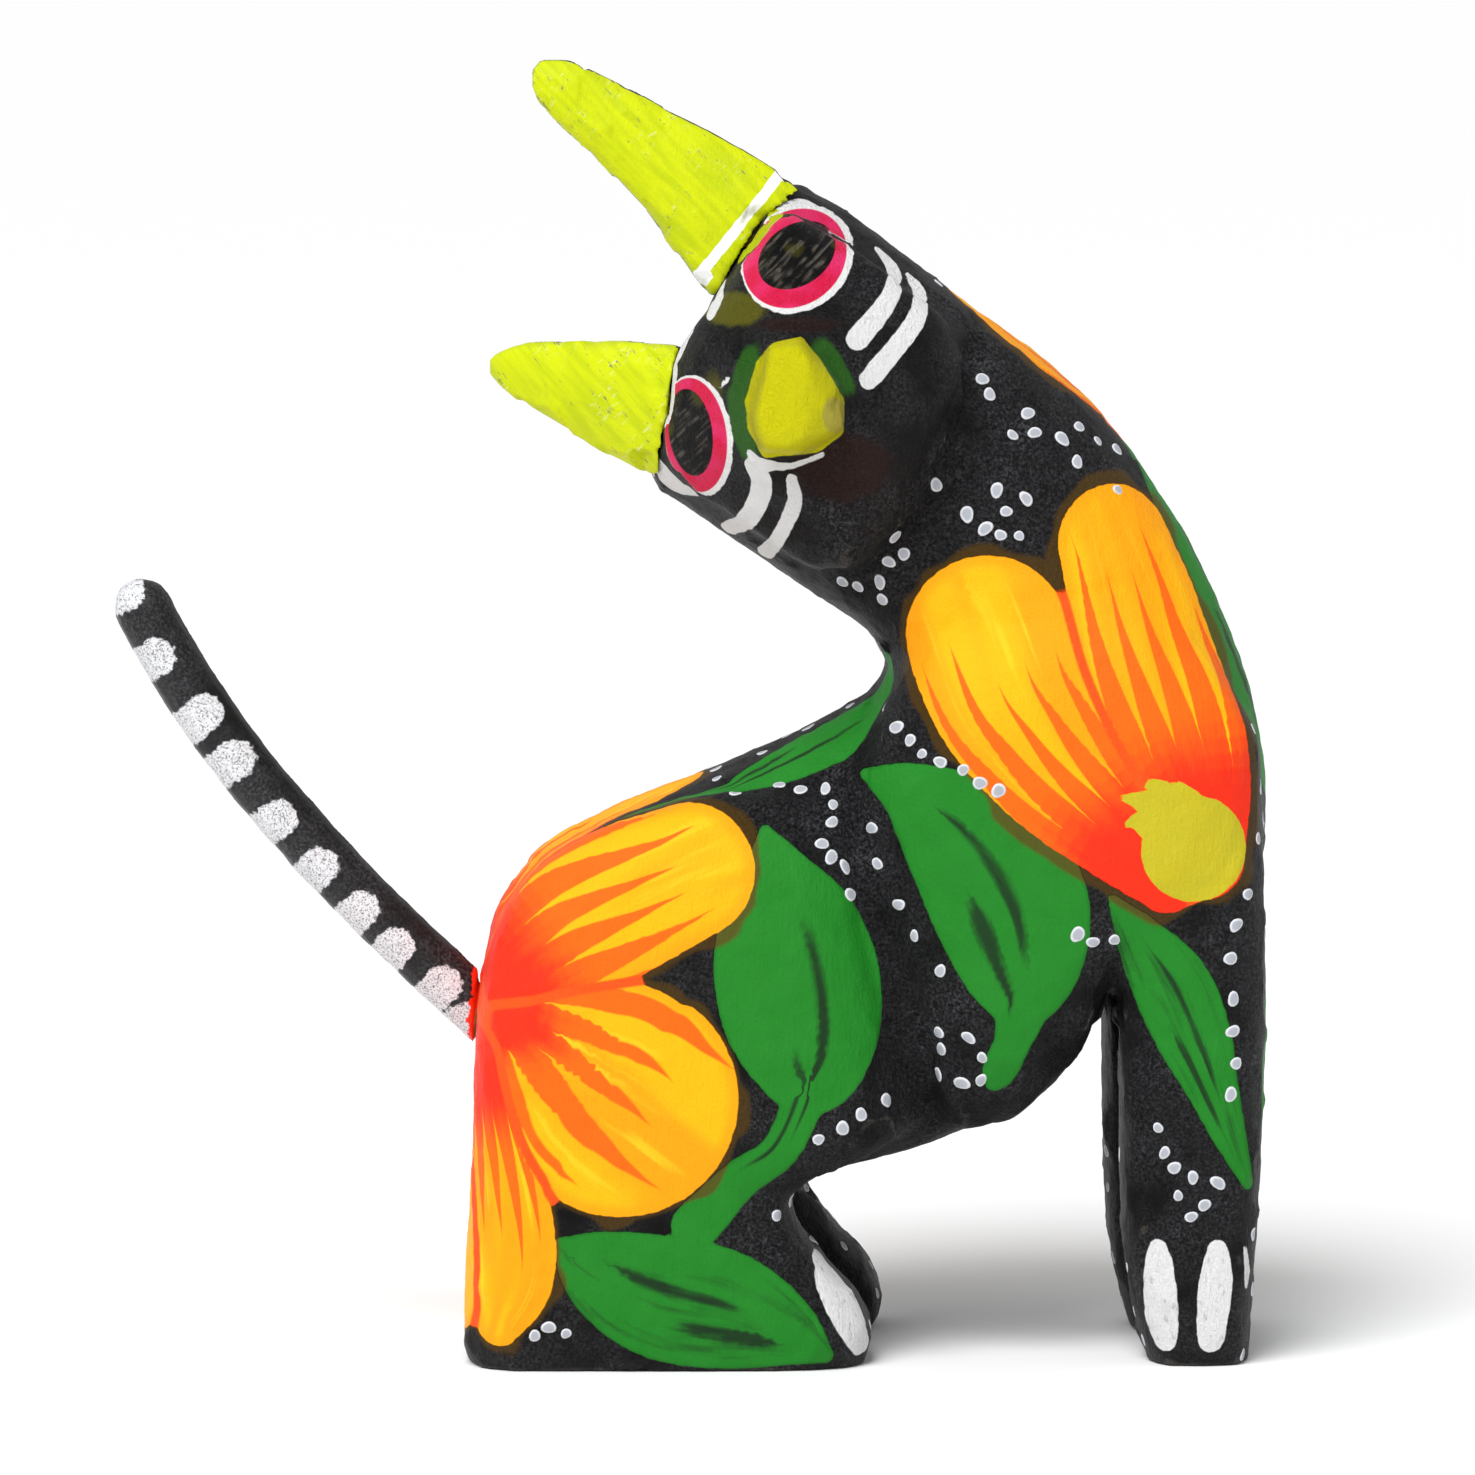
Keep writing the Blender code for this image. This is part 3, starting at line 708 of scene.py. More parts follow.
    def finish(self, colour, roughness, normal):
        self.plug(self.surface.inputs["Base Color"], colour)
        self.plug(self.surface.inputs["Roughness"], roughness)
        self.plug(self.surface.inputs["Normal"], normal)
        return self.material


def black_wood(paint):
    """The ground coat: black paint over wood, with grain, rubbed edges, and specks of wear, dust and painted
    glints.
    """
    grain = paint.noise(where=paint.stretched(0.28, 0.28, 1.5), detail=3.0, roughness=0.6)
    fuzz = paint.noise(0.24, detail=4.0, roughness=0.75)
    patches = paint.noise(5.0, detail=2.0)
    # Painted glints: fine grey specks, partly worn paint, standing in for light on the black's fuzz.
    worn = paint.both(paint.step(fuzz, 0.36, 0.72), paint.step(patches, 0.24, 0.56))
    colour = paint.mix(worn, BLACK, WORN_AND_GLINT_GREY)
    # Painted sheen: paler specks, partly dust, for the brightest glints.
    dust_and_sheen = paint.step(paint.add(paint.both(fuzz, 0.7), paint.both(patches, 0.5)), 0.66, 0.84)
    colour = paint.mix(paint.both(dust_and_sheen, 0.7), colour, MID_GREY)
    edge = paint.add(paint.number("wear"), paint.centred(fuzz, 0.12))
    colour = paint.mix(paint.both(paint.step(edge, 0.12, 0.22), 0.5), colour, SCUFF)
    height = paint.add(paint.both(grain, 0.7), paint.both(fuzz, 0.7))
    return colour, height, fuzz


def raw_wood(paint):
    """Bare wood, where no brush reaches: the holes and the pegs."""
    rings = paint.noise(where=paint.stretched(0.35, 0.35, 3.0), detail=3.0)
    return paint.mix(rings, RAW_WOOD_DARK, RAW_WOOD)


def petal_coats(paint, colour, ragged):
    """Petals: a brown halo, an orange and yellow ground, and spikes of red that run out from the heart."""
    inside, along, across = paint.parts("petal")
    number = paint.number("petal_number")
    stroke = (across, along, number)
    halo_spread = paint.step(paint.noise(5.0, detail=1.0), 0.35, 0.65)
    halo = paint.step(paint.add(inside, paint.both(halo_spread, 0.8)), -0.45, 0.0)
    colour = paint.mix(paint.both(halo, 0.8), colour, HALO_BROWN)
    # Yellow streaks along each petal over orange: brush strokes, and partly painted highlights running down
    # the petal.
    brush_and_highlight_streaks = paint.brushed(stroke, (1.5, 0.9, 3.7), detail=1.0)
    ground = paint.mix(paint.step(brush_and_highlight_streaks, 0.38, 0.60), PETAL_ORANGE, PETAL_YELLOW)
    streak = paint.brushed(stroke, (5.0, 1.6, 5.3))
    pale = paint.both(paint.step(streak, 0.58, 0.70), paint.step(along, 0.98, 0.80))
    ground = paint.mix(paint.both(pale, 0.8), ground, PETAL_PALE)
    ground = paint.mix(paint.both(paint.step(inside, 1.3, 0.3), 0.8), ground, PETAL_ORANGE)
    bend = paint.centred(paint.noise(where=paint.combine(paint.both(along, 2.2), number)), 0.5)
    place = paint.math("MULTIPLY_ADD", across, 2.5, bend)
    place = paint.add(place, paint.both(number, 0.37))
    cell = paint.math("FLOOR", place)
    lot = paint.node("ShaderNodeTexWhiteNoise", noise_dimensions="2D")
    paint.plug(lot.inputs["Vector"], paint.combine(cell, paint.math("ROUND", number)))
    reach = paint.math("MULTIPLY_ADD", lot.outputs["Value"], 0.30, 0.64)
    share = paint.less(1.0, paint.math("DIVIDE", along, reach))
    half = paint.both(paint.math("POWER", paint.math("MAXIMUM", share, 0.0), 1.15), 0.88)
    off = paint.math("ABSOLUTE", paint.less(paint.math("FRACT", place), 0.5))
    brushed = paint.centred(streak, 0.14)
    spike = paint.step(paint.add(paint.less(half, off), brushed), -0.02, 0.05)
    spike = paint.both(spike, paint.step(share, 0.0, 0.05))
    hot = paint.step(along, 0.50, 0.06)
    hot = paint.step(paint.add(paint.both(hot, 0.8), paint.both(streak, 0.4)), 0.30, 0.85)
    red = paint.mix(hot, SPIKE_ORANGE, SPIKE_CORAL)
    ground = paint.mix(spike, ground, red)
    ground = paint.mix(paint.step(paint.number("petal_gap"), 0.95, 0.50), ground, SPIKE_RED)
    joined = paint.both(paint.step(paint.number("petal_gap"), 0.8, 0.0), 0.3)
    mask = paint.edge(paint.add(inside, joined), ragged)
    return paint.mix(mask, colour, ground), mask


def leaf_coats(paint, colour, ragged):
    """Leaves: flat green, with two dry strokes of black drawn down each."""
    inside, along, across = paint.parts("leaf")
    number = paint.number("leaf_number")
    stroke = (across, along, number)
    tone = paint.noise(3.0, detail=1.0)
    ground = paint.mix(tone, LEAF_GREEN, LEAF_PALE)
    dry = paint.brushed(stroke, (9.0, 5.0, 4.1), detail=4.0)
    curve = paint.math("SINE", paint.math("MULTIPLY_ADD", along, 3.0, number))
    soft = paint.brushed(stroke, (3.0, 3.0, 2.3), detail=3.0)
    for offset, width, start, end in ((0.16, 0.22, 0.10, 0.78), (-0.34, 0.30, 0.34, 0.90)):
        away = paint.less(across, paint.math("MULTIPLY_ADD", curve, 0.10, offset))
        line = paint.step(paint.math("ABSOLUTE", away), width, 0.0)
        line = paint.both(line, paint.step(along, start, start + 0.2))
        line = paint.both(line, paint.step(along, end, end - 0.2))
        smear = paint.step(paint.add(paint.both(line, 0.50), paint.both(soft, 0.55)), 0.45, 0.95)
        dark = paint.step(paint.add(paint.both(line, 0.60), paint.both(dry, 0.75)), 0.68, 0.98)
        ground = paint.mix(paint.both(smear, 0.55), ground, LEAF_DARK)
        ground = paint.mix(paint.both(dark, 0.85), ground, LEAF_DARK)
    even = paint.math("LESS_THAN", paint.math("MODULO", paint.add(number, 0.5), 2.0), 1.0)
    smudge = paint.step(paint.add(paint.both(soft, 0.7), paint.both(dry, 0.4)), 0.55, 0.78)
    ground = paint.mix(paint.both(paint.both(smudge, even), 0.60), ground, LEAF_DARK)
    edge = paint.step(paint.add(inside, paint.both(dry, 0.4)), 0.55, 0.10)
    ground = paint.mix(paint.both(edge, 0.35), ground, LEAF_DARK)
    mask = paint.edge(inside, ragged)
    return paint.mix(mask, colour, ground), mask


def face_coats(paint, colour, ragged):
    """The face: washes, white marks, the two eyes and the nose."""
    green, olive, brown = paint.parts("wash")
    cloud = paint.noise(1.1, detail=3.0)
    nose, beige, shade = paint.parts("nose")
    green = paint.both(green, paint.step(nose, -2.0, -0.9))
    for strength, wash in ((brown, CHEEK_BROWN), (olive, OLIVE_WASH), (green, HALO_GREEN)):
        cover = paint.step(paint.add(strength, paint.both(cloud, 0.5)), 0.55, 1.0)
        colour = paint.mix(paint.both(cover, 0.8), colour, wash)
    thin = paint.noise(0.7, detail=2.0)
    for name, over, cover in (("lime_mark", LIME, 1.0), ("white_mark", WHITE, 0.97)):
        mask = paint.edge(paint.number(name), ragged)
        over = paint.mix(paint.both(paint.step(thin, 0.62, 0.78), 0.2), over, DOT_GREY)
        colour = paint.mix(paint.both(mask, cover), colour, over)
    outline, ring, pupil = paint.parts("eye")
    colour = paint.mix(paint.edge(outline, paint.both(ragged, 1.6)), colour, WHITE)
    tint = paint.noise(2.6, detail=1.0)
    pink = paint.mix(paint.step(tint, 0.35, 0.65), PINK, PINK_RED)
    colour = paint.mix(paint.edge(ring), colour, pink)
    # Painted highlight: grey streaks rising to the right over the pupils, partly scratches, partly the
    # gloss's highlight stroke.
    scratches_and_highlight = paint.noise(where=paint.slanted(2.4, 0.28), detail=3.0)
    rubbed = paint.both(paint.step(scratches_and_highlight, 0.44, 0.70), paint.step(cloud, 0.40, 0.62))
    iris = paint.mix(paint.both(rubbed, 0.9), BLACK, SCUFF)
    iris = paint.mix(paint.both(paint.step(tint, 0.58, 0.70), 0.35), iris, OLIVE_WASH)
    colour = paint.mix(paint.edge(pupil), colour, iris)
    # Painted shade: the nose's side facets go from yellow to olive by how they turn.
    yellow = paint.mix(paint.both(paint.step(shade, 0.2, 0.8), 0.8), NOSE_YELLOW, NOSE_SHADED_OLIVE)
    worn = paint.step(paint.add(beige, paint.both(cloud, 0.4)), 0.6, 0.9)
    yellow = paint.mix(paint.both(worn, 0.8), yellow, NOSE_BEIGE)
    colour = paint.mix(paint.edge(nose, ragged), colour, yellow)
    return colour


def body_material():
    """The painted block."""
    paint = Finish("hand painted wood", specular=0.16)
    ground, height, fuzz = black_wood(paint)
    ragged = paint.centred(paint.noise(0.8, detail=2.0), 0.22)
    colour, leaf = leaf_coats(paint, ground, ragged)
    colour, petal = petal_coats(paint, colour, ragged)
    heart = paint.edge(paint.number("heart"), ragged)
    colour = paint.mix(heart, colour, paint.mix(paint.noise(2.5), HEART_YELLOW, HEART_GREEN))
    thin = paint.noise(where=paint.stretched(0.5, 0.5, 1.2), detail=3.0)
    claw = paint.edge(paint.number("claw"), ragged)
    claw_white = paint.mix(paint.both(paint.step(thin, 0.58, 0.74), 0.4), WHITE, MID_GREY)
    colour = paint.mix(claw, colour, claw_white)
    colour = face_coats(paint, colour, ragged)
    bore = paint.step(paint.number("bore"), 0.4, 0.6)
    colour = paint.mix(bore, colour, raw_wood(paint))
    smooth = paint.math("MAXIMUM", paint.math("MAXIMUM", leaf, petal), heart)
    roughness = paint.mix_number(smooth, paint.math("MULTIPLY_ADD", fuzz, 0.3, 0.26), 0.48)
    rise = paint.mix_number(smooth, height, paint.both(height, 0.25))
    return paint.finish(colour, roughness, paint.bump(rise, 0.55))


def ear_material():
    """Yellow on the front of an ear, black on its back and edges, and a white line across its foot."""
    paint = Finish("painted ear", specular=0.16)
    ground, height, fuzz = black_wood(paint)
    front, foot, peg = paint.parts("ear")
    ragged = paint.centred(paint.noise(0.8, detail=2.0), 0.22)
    brushed = paint.noise(where=paint.slanted(0.7, 5.0), detail=2.0)
    yellow = paint.mix(paint.step(brushed, 0.35, 0.70), LIME, LIME_DEEP)
    specks = paint.noise(where=paint.slanted(0.32, 1.1), detail=3.0, roughness=0.7)
    rubbed = paint.noise(4.0, detail=1.0)
    speckled = paint.step(paint.add(specks, paint.both(rubbed, 0.35)), 0.80, 0.88)
    yellow = paint.mix(paint.both(speckled, 0.7), yellow, SCUFF)
    thin = paint.noise(where=paint.slanted(0.9, 0.3), detail=3.0, roughness=0.7)
    scraped = paint.both(paint.step(thin, 0.56, 0.66), paint.step(rubbed, 0.50, 0.62))
    yellow = paint.mix(paint.both(scraped, 0.6), yellow, LIME_PALE)
    front_mask = paint.step(paint.add(front, ragged), -0.04, 0.05)
    colour = paint.mix(front_mask, ground, yellow)
    line = paint.edge(foot, ragged)
    colour = paint.mix(paint.both(line, front_mask), colour, WHITE)
    colour = paint.mix(paint.step(peg, 0.4, 0.6), colour, raw_wood(paint))
    return paint.finish(colour, paint.math("MULTIPLY_ADD", fuzz, 0.2, 0.42), paint.bump(height, 0.08))


def tail_material():
    """A black tail with patches of silver glitter paint."""
    paint = Finish("painted tail", specular=0.3)
    ground, height, fuzz = black_wood(paint)
    patch, peg, splash = paint.parts("tail")
    flakes = paint.noise(0.16, detail=3.0, roughness=0.8)
    ragged = paint.centred(paint.noise(0.5, detail=3.0), 0.9)
    cover = paint.step(paint.add(patch, ragged), -0.05, 0.15)
    glitter = paint.step(flakes, 0.36, 0.52)
    silver = paint.mix(glitter, MID_GREY, SILVER)
    colour = paint.mix(cover, ground, silver)
    lap = paint.step(paint.add(splash, paint.both(ragged, 0.8)), -0.05, 0.05)
    colour = paint.mix(lap, colour, SPIKE_CORAL)
    colour = paint.mix(paint.step(peg, 0.4, 0.6), colour, raw_wood(paint))
    roughness = paint.mix_number(cover, paint.math("MULTIPLY_ADD", fuzz, 0.2, 0.28), 0.36)
    return paint.finish(colour, roughness, paint.bump(height, 0.08))


def dot_material():
    """Thick dabs of light grey paint, brightest round the rim."""
    paint = Finish("grey dots", specular=0.25)
    cloud = paint.noise(0.4, detail=2.0)
    rim = paint.step(paint.add(paint.number("rim"), paint.both(cloud, 0.3)), 0.70, 1.0)
    colour = paint.mix(rim, DOT_GREY, DOT_RIM)
    return paint.finish(colour, 0.45, paint.bump(cloud, 0.05))


# ---------------------------------------------------------------------------------------------
# The pieces


def shaken(points, amount, chooser):
    """A stroke's points, each moved a little, as a second hand-painted copy is."""
    return [
        (*(v + chooser.uniform(-amount, amount) for v in row[:-1]), row[-1] * chooser.uniform(0.92, 1.06))
        for row in points
    ]


def both_sides(tree, side_paths, round_paths, chooser):
    """A motif's strokes: on the face's side, repeated by hand on the far side, and round the body."""
    strokes = [(side_stroke(tree, path, -1), -1) for path in side_paths]
    strokes += [(side_stroke(tree, shaken(path, 0.5, chooser), 1), 1) for path in side_paths]
    strokes += [(round_stroke(tree, path), 0) for path in round_paths]
    return strokes


def convexity(points, normals, edges):
    """How far each point stands out from its surroundings, in millimetres."""
    settled = points
    for _ in range(10):
        settled = settled + 0.6 * (neighbour_mean(settled, edges) - settled)
    return ((points - settled) * normals).sum(axis=1)


def bore_share(points, normals):
    """1 inside the holes that are drilled for the tail and ears, and 0 outside."""
    total = np.zeros(len(points))
    holes = [("tail", TAIL_ROOT, TAIL_OUT)]
    holes += [(name, EAR_ROOTS[name], EAR_OUT[name]) for name in EAR_ROOTS]
    for name, root, out in holes:
        away = points - np.array(root)
        height = away @ np.array(out)
        radius = np.linalg.norm(away - height[:, None] * np.array(out), axis=1)
        inside = (radius < HOLE_RADII[name] + 0.25) & (height > -10.5) & (height < 1.5)
        turned_in = (normals * (away - height[:, None] * np.array(out))).sum(axis=1) < 0.3 * radius
        total = np.where(inside & (turned_in | (height < -2.0)), 1.0, total)
    return total


def carve_body(node):
    """The block: its fine surface, and every coat's place on it."""
    obj = fine_copy(node, "painted_body", BODY_VOXEL)
    mesh = obj.data
    edges = mesh_edges(mesh)
    points = mesh_points(mesh)
    bore = bore_share(points, mesh_normals(mesh))
    points = notched(smoothed(points, edges, BODY_SMOOTHING, 1.0 - bore))
    set_points(mesh, points)
    normals = mesh_normals(mesh)
    cut = knife_facets(points, normals, FACET_SPACING, 0.35, SEED)
    rough = 0.07 * wobble(points, 0.9, 1) + 0.07 * wobble(points, 2.6, 2)
    rough_tree = surface_tree(mesh)
    for path, depth in CREASES:
        for side in (-1, 1):
            inside = stroke_field(side_stroke(rough_tree, path, side), points, normals, side)[0]
            rough -= depth * np.clip(inside / 1.6 + 0.35, 0, 1) ** 2
    cut = cut + rough[:, None] * normals
    points = np.where(bore[:, None] > 0, points, smoothed(cut, edges, 1, np.ones(len(points))))
    points = keep_in_box(points, "body")
    set_points(mesh, points)
    normals = mesh_normals(mesh)
    tree = surface_tree(mesh)
    chooser = random.Random(SEED)
    petal, along, across, number, gap = layer(
        both_sides(tree, SIDE_PETALS, ROUND_PETALS, chooser), points, normals
    )
    give(mesh, "petal", petal, along, across)
    give(mesh, "petal_number", number)
    give(mesh, "petal_gap", gap)
    leaf, along, across, number, _ = layer(
        both_sides(tree, SIDE_LEAVES, ROUND_LEAVES, chooser), points, normals
    )
    give(mesh, "leaf", leaf, along, across)
    give(mesh, "leaf_number", number)
    x, height, radius = HEART
    round_dab = [(x, height, radius), (x + 0.05, height, radius)]
    heart = layer(both_sides(tree, [round_dab, *HEART_SLIPS], [], chooser), points, normals)[0]
    give(mesh, "heart", heart)
    claw = layer(both_sides(tree, WHITE_CLAWS, [], chooser), points, normals)[0]
    give(mesh, "claw", claw)
    for name, marks in (("white_mark", WHITE_MARKS), ("lime_mark", LIME_MARKS)):
        give(mesh, name, layer([(side_stroke(tree, path, -1), -1) for path in marks], points, normals)[0])
    coats = []
    for coat in ("white", "ring", "pupil"):
        coats.append(np.maximum(*(ellipse_field(points, normals, *eye[coat]) for eye in EYES)))
    give(mesh, "eye", *coats)
    nose = polygon_field(points, NOSE_OUTLINE)
    # Painted shade: how far the nose's facets turn along x, which darkens their yellow to olive.
    shade = np.clip(np.abs(normals[:, 0] + 0.25) * 1.4, 0, 1)
    give(mesh, "nose", nose, wash_field(points, BEIGE_WASHES), shade)
    washes = [wash_field(points, group) for group in (GREEN_WASHES, OLIVE_WASHES, BROWN_WASHES)]
    give(mesh, "wash", *washes)
    give(mesh, "wear", convexity(points, normals, edges))
    give(mesh, "bore", bore)
    mesh.materials.append(body_material())
    bare = np.maximum(np.maximum(petal, leaf), np.maximum(heart, claw))
    return obj, tree, points, normals, bare


def close_seat(points, normals, out, gap):
    """Points of a piece's foot moved towards the block, so that its coat of paint nearly closes the joint."""
    down = np.array(out) * -SEAT_CLOSING
    share = np.clip(1.0 - (gap - 0.3) / 0.5, 0, 1) * np.clip(-(normals @ np.array(out)) * 2, 0, 1)
    return points + share[:, None] * down


def fine_plug(node, name, voxel, root, out, peg_radius, rounds):
    """A piece that plugs into the block: its fine surface, before it is carved, and where its peg is."""
    obj = fine_copy(node, name, voxel)
    edges = mesh_edges(obj.data)
    points = mesh_points(obj.data)
    height = (points - np.array(root)) @ np.array(out)
    away = points - np.array(root) - height[:, None] * np.array(out)
    peg = ((height < 0.0) & (np.linalg.norm(away, axis=1) < peg_radius)).astype(float)
    points = smoothed(points, edges, rounds, 1.0 - peg)
    set_points(obj.data, points)
    return obj, edges, points, height, peg


def carve_ear(node, name, tree):
    """An ear: its fine surface, which of it is its front, and where its foot and its peg are."""
    obj, edges, points, height, peg = fine_plug(
        node, "painted_" + name, EAR_VOXEL, EAR_ROOTS[name], EAR_OUT[name], 1.45, 12
    )
    mesh = obj.data
    normals = mesh_normals(mesh)
    cut = knife_facets(points, normals, 3.6, 0.45, SEED + 1)
    cut = cut + (0.02 * wobble(points, 0.7, 3) + 0.05 * wobble(points, 3.5, 4))[:, None] * normals
    points = np.where(peg[:, None] > 0, points, smoothed(cut, edges, 1, np.ones(len(points))))
    gap = np.array([tree.find_nearest(p)[3] for p in points])
    seat = close_seat(points, normals, EAR_OUT[name], gap)
    points = keep_in_box(np.where(peg[:, None] > 0, points, seat), name)
    set_points(mesh, points)
    normals = mesh_normals(mesh)
    front = (normals @ np.array(EAR_FACING[name]) - EAR_EDGE[name]) * 1.6
    place, half_width = EAR_LINE[name]
    give(mesh, "ear", front, half_width - np.abs(height - place), peg)
    give(mesh, "wear", convexity(points, normals, edges))
    return obj


def carve_tail(node, tree):
    """The tail: its fine surface, and the patches of silver down its side."""
    obj, edges, points, _, peg = fine_plug(node, "painted_tail", TAIL_VOXEL, TAIL_ROOT, TAIL_OUT, 1.9, 8)
    mesh = obj.data
    normals = mesh_normals(mesh)
    cut = points + (0.05 * wobble(points, 1.0, 5) + 0.06 * wobble(points, 2.6, 6))[:, None] * normals
    points = np.where(peg[:, None] > 0, points, cut)
    points = keep_in_box(points, "tail")
    set_points(mesh, points)
    normals = mesh_normals(mesh)
    x, z, out = picture_places(points)
    patches = np.full(len(points), -REACH)
    for k, (px, pz) in enumerate(TAIL_PATCHES):
        before = TAIL_PATCHES[max(k - 1, 0)]
        after = TAIL_PATCHES[min(k + 1, len(TAIL_PATCHES) - 1)]
        step = np.array([before[0] - after[0], before[1] - after[1]])
        step = step / np.linalg.norm(step)
        u = (x - px) * step[0] + (z - pz) * step[1]
        v = (x - px) * -step[1] + (z - pz) * step[0]
        patches = np.maximum(patches, TAIL_PATCH_RADIUS - np.hypot(u, v - np.clip(v, 0, 3)))
    patches = np.where(out > -1.3, patches, -REACH)
    gap = np.array([tree.find_nearest(p)[3] for p in points])
    give(mesh, "tail", patches, peg, TAIL_SPLASH - gap)
    give(mesh, "wear", convexity(points, normals, edges))
    mesh.materials.append(tail_material())
    return obj


def dab(tree, centre, normal, radius, builder, chooser, rim_layer):
    """One thick dot of paint that follows the surface, closed underneath."""
    side = normal.orthogonal().normalized()
    up = normal.cross(side)
    turn = chooser.uniform(0, 2 * math.pi)
    stretch = chooser.uniform(1.0, 1.35)
    wave = chooser.uniform(0, 2 * math.pi)
    rings = []
    for share, rise in ((1.0, -0.03), (0.86, 0.62), (0.5, 0.85)):
        ring = []
        for k in range(DOT_SIDES):
            angle = 2 * math.pi * k / DOT_SIDES
            size = radius * share * (1 + 0.09 * math.sin(2 * angle + wave) + 0.05 * math.sin(3 * angle))
            a, b = size * stretch * math.cos(angle), size * math.sin(angle)
            spot = centre + side * (a * math.cos(turn) - b * math.sin(turn))
            spot = spot + up * (a * math.sin(turn) + b * math.cos(turn))
            ground, facing, _, _ = tree.find_nearest(spot)
            vertex = builder.verts.new((ground + facing * rise * DOT_RISE) * MM)
            vertex[rim_layer] = share
            ring.append(vertex)
        rings.append(ring)
    top = builder.verts.new((centre + normal * DOT_RISE * 0.9) * MM)
    under = builder.verts.new((centre - normal * 0.2) * MM)
    for outer, inner in zip(rings, rings[1:]):
        for k in range(DOT_SIDES):
            builder.faces.new((outer[k - 1], outer[k], inner[k], inner[k - 1]))
    for k in range(DOT_SIDES):
        builder.faces.new((rings[-1][k - 1], rings[-1][k], top))
        builder.faces.new((rings[0][k], rings[0][k - 1], under))


def trail_places(chooser):
    """The trails' dots in the picture plane: evenly spaced, strayed a little, and clear of each other."""
    places = []
    for path, count, stray in DOT_TRAILS:
        line = curve_through([(x, height, 1.0) for x, height in path])[:, :2]
        lengths = np.concatenate([[0.0], np.cumsum(np.linalg.norm(np.diff(line, axis=0), axis=1))])
        for k in range(count):
            along = lengths[-1] * (k + 0.5) / count
            middle = [np.interp(along, lengths, line[:, axis]) for axis in (0, 1)]
            for _ in range(12):
                x, height = (v + chooser.uniform(-stray, stray) for v in middle)
                if all(math.hypot(x - other[0], height - other[1]) > DOT_GAP for other in places):
                    places.append((x, height))
                    break
    return places


def dotted(tree, points, normals, bare):
    """All the dots, as one piece: trails on both sides, and others scattered over the rest."""
    chooser = random.Random(SEED + 2)
    spots = [cast(tree, x, height, side) for side in (-1, 1) for x, height in trail_places(chooser)]
    low = np.percentile(points[:, 2], 2)
    order = list(np.flatnonzero((bare < -0.9) & (points[:, 2] > low) & (points[:, 2] < DOTS_TOP)))
    chooser.shuffle(order)
    added = 0
    for i in order:
        spot, normal = Vector(points[i]), Vector(normals[i])
        near_side = normal.y < -0.35
        underneath = normal.z < -0.5
        on_face = spot.z > FACE_FOOT and spot.y < MID_Y - 3.0
        hidden = tree.ray_cast(spot + normal * 0.05, normal, 12.0)[0] is not None
        crowded = any((spot - other).length < SCATTER_GAP for other, _ in spots)
        if not (near_side or underneath or on_face or hidden or crowded):
            spots.append((spot, normal))
            added += 1
        if added == SCATTERED_DOTS:
            break
    builder = bmesh.new()
    rim_layer = builder.verts.layers.float.new("rim")
    for spot, normal in spots:
        dab(tree, spot, normal, DOT_RADIUS * chooser.uniform(0.8, 1.15), builder, chooser, rim_layer)
    mesh = bpy.data.meshes.new("paint_dots")
    builder.to_mesh(mesh)
    builder.free()
    set_points(mesh, keep_in_box(mesh_points(mesh), "body"))
    mesh.shade_smooth()
    obj = bpy.data.objects.new("paint_dots", mesh)
    bpy.context.scene.collection.objects.link(obj)
    mesh.materials.append(dot_material())
    return obj


# ---------------------------------------------------------------------------------------------
# The studio


def soft_light(name, place, target, size, watts):
    """A square light aimed at a point, in metres."""
    light = bpy.data.lights.new(name, "AREA")
    light.energy = watts
    light.size = size
    obj = bpy.data.objects.new(name, light)
    bpy.context.scene.collection.objects.link(obj)
    obj.location = place
    obj.rotation_euler = (Vector(target) - Vector(place)).to_track_quat("-Z", "Y").to_euler()


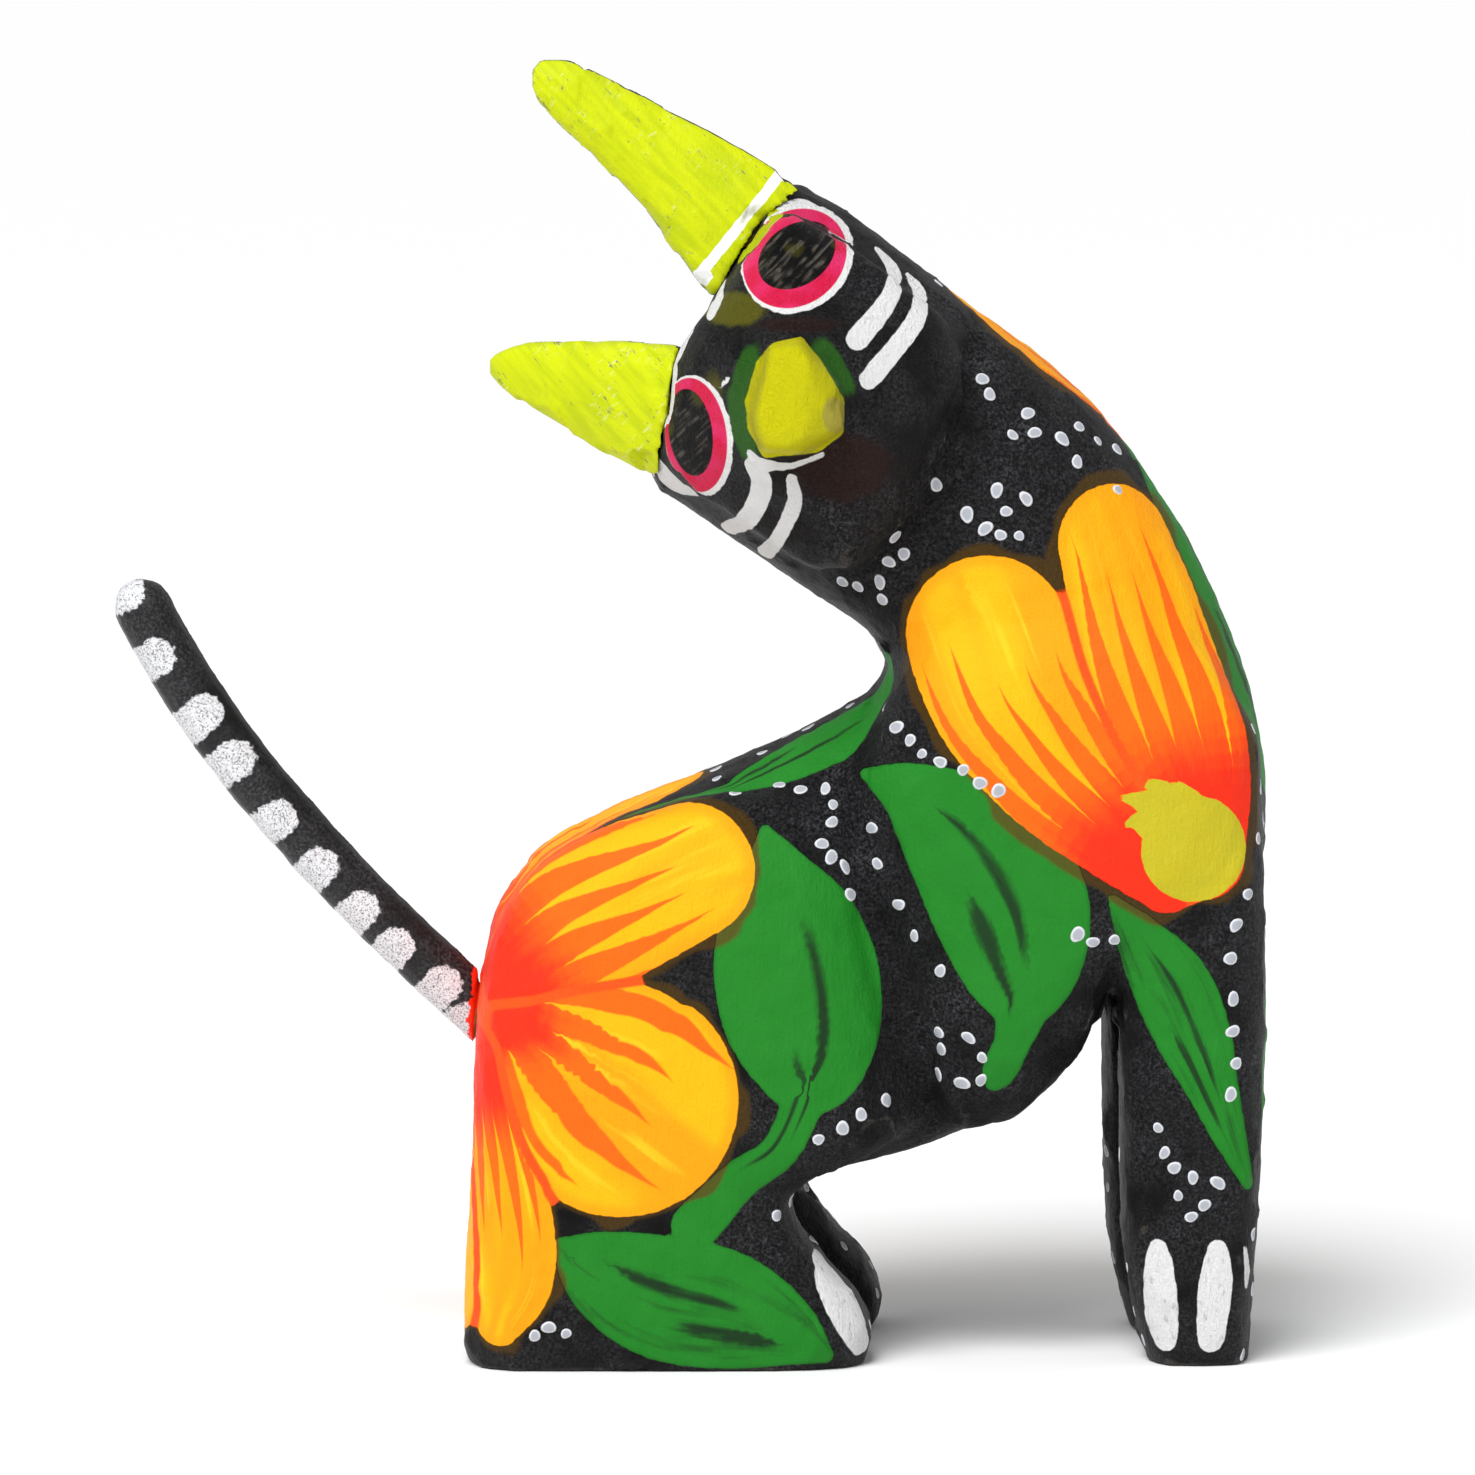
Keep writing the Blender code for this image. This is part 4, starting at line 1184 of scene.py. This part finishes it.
def studio():
    """A pale floor, a pale room, a soft high light and a softer one, with the camera in front."""
    bpy.ops.mesh.primitive_plane_add(size=14.0, location=(0, 0, -0.0001))
    floor = bpy.context.object
    floor.name = "floor"
    pale = bpy.data.materials.new("pale floor")
    pale.use_nodes = True
    pale.node_tree.nodes["Principled BSDF"].inputs["Base Color"].default_value = (0.985, 0.985, 0.99, 1)
    pale.node_tree.nodes["Principled BSDF"].inputs["Roughness"].default_value = 0.9
    pale.node_tree.nodes["Principled BSDF"].inputs["Specular IOR Level"].default_value = 0.1
    floor.data.materials.append(pale)
    world = bpy.data.worlds.new("white room")
    world.use_nodes = True
    world.node_tree.nodes["Background"].inputs["Color"].default_value = (1, 1, 1, 1)
    world.node_tree.nodes["Background"].inputs["Strength"].default_value = WORLD_STRENGTH
    bpy.context.scene.world = world
    sun = bpy.data.lights.new("sun", "SUN")
    sun.energy = SUN_STRENGTH
    sun.angle = math.radians(38)
    sun_place = bpy.data.objects.new("sun", sun)
    bpy.context.scene.collection.objects.link(sun_place)
    sun_place.rotation_euler = Vector((0.30, 0.58, -0.76)).to_track_quat("-Z", "Y").to_euler()
    soft_light("key", (-0.10, -0.30, 0.60), CAMERA_TARGET_M, 0.22, KEY_WATTS)
    camera = bpy.data.cameras.new("camera")
    camera.sensor_width = 36.0
    camera.lens = 36.0 * CAMERA_DISTANCE_M / FRAME_WIDTH_M
    eye = bpy.data.objects.new("camera", camera)
    bpy.context.scene.collection.objects.link(eye)
    rise = math.radians(CAMERA_ELEVATION)
    offset = Vector((0, -math.cos(rise), math.sin(rise))) * CAMERA_DISTANCE_M
    eye.location = Vector(CAMERA_TARGET_M) + offset
    eye.rotation_euler = (-offset).to_track_quat("-Z", "Y").to_euler()
    bpy.context.scene.camera = eye
    bpy.context.scene.view_settings.view_transform = "Standard"


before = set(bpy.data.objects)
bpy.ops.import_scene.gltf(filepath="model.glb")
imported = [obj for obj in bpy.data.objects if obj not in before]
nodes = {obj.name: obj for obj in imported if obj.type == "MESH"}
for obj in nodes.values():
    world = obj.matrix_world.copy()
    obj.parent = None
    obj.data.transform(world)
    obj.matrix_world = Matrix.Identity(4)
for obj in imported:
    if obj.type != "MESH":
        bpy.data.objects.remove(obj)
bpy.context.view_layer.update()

body, body_tree, body_points, body_normals, body_bare = carve_body(nodes["body"])
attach(body, "carving")
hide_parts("body")

dots = dotted(body_tree, body_points, body_normals, body_bare)
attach(dots, "carving")

tail = carve_tail(nodes["tail"], body_tree)
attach(tail, "tail")
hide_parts("tail")

ear_finish = ear_material()
for ear_name in EAR_ROOTS:
    ear = carve_ear(nodes[ear_name], ear_name, body_tree)
    ear.data.materials.append(ear_finish)
    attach(ear, ear_name)
    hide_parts(ear_name)

studio()
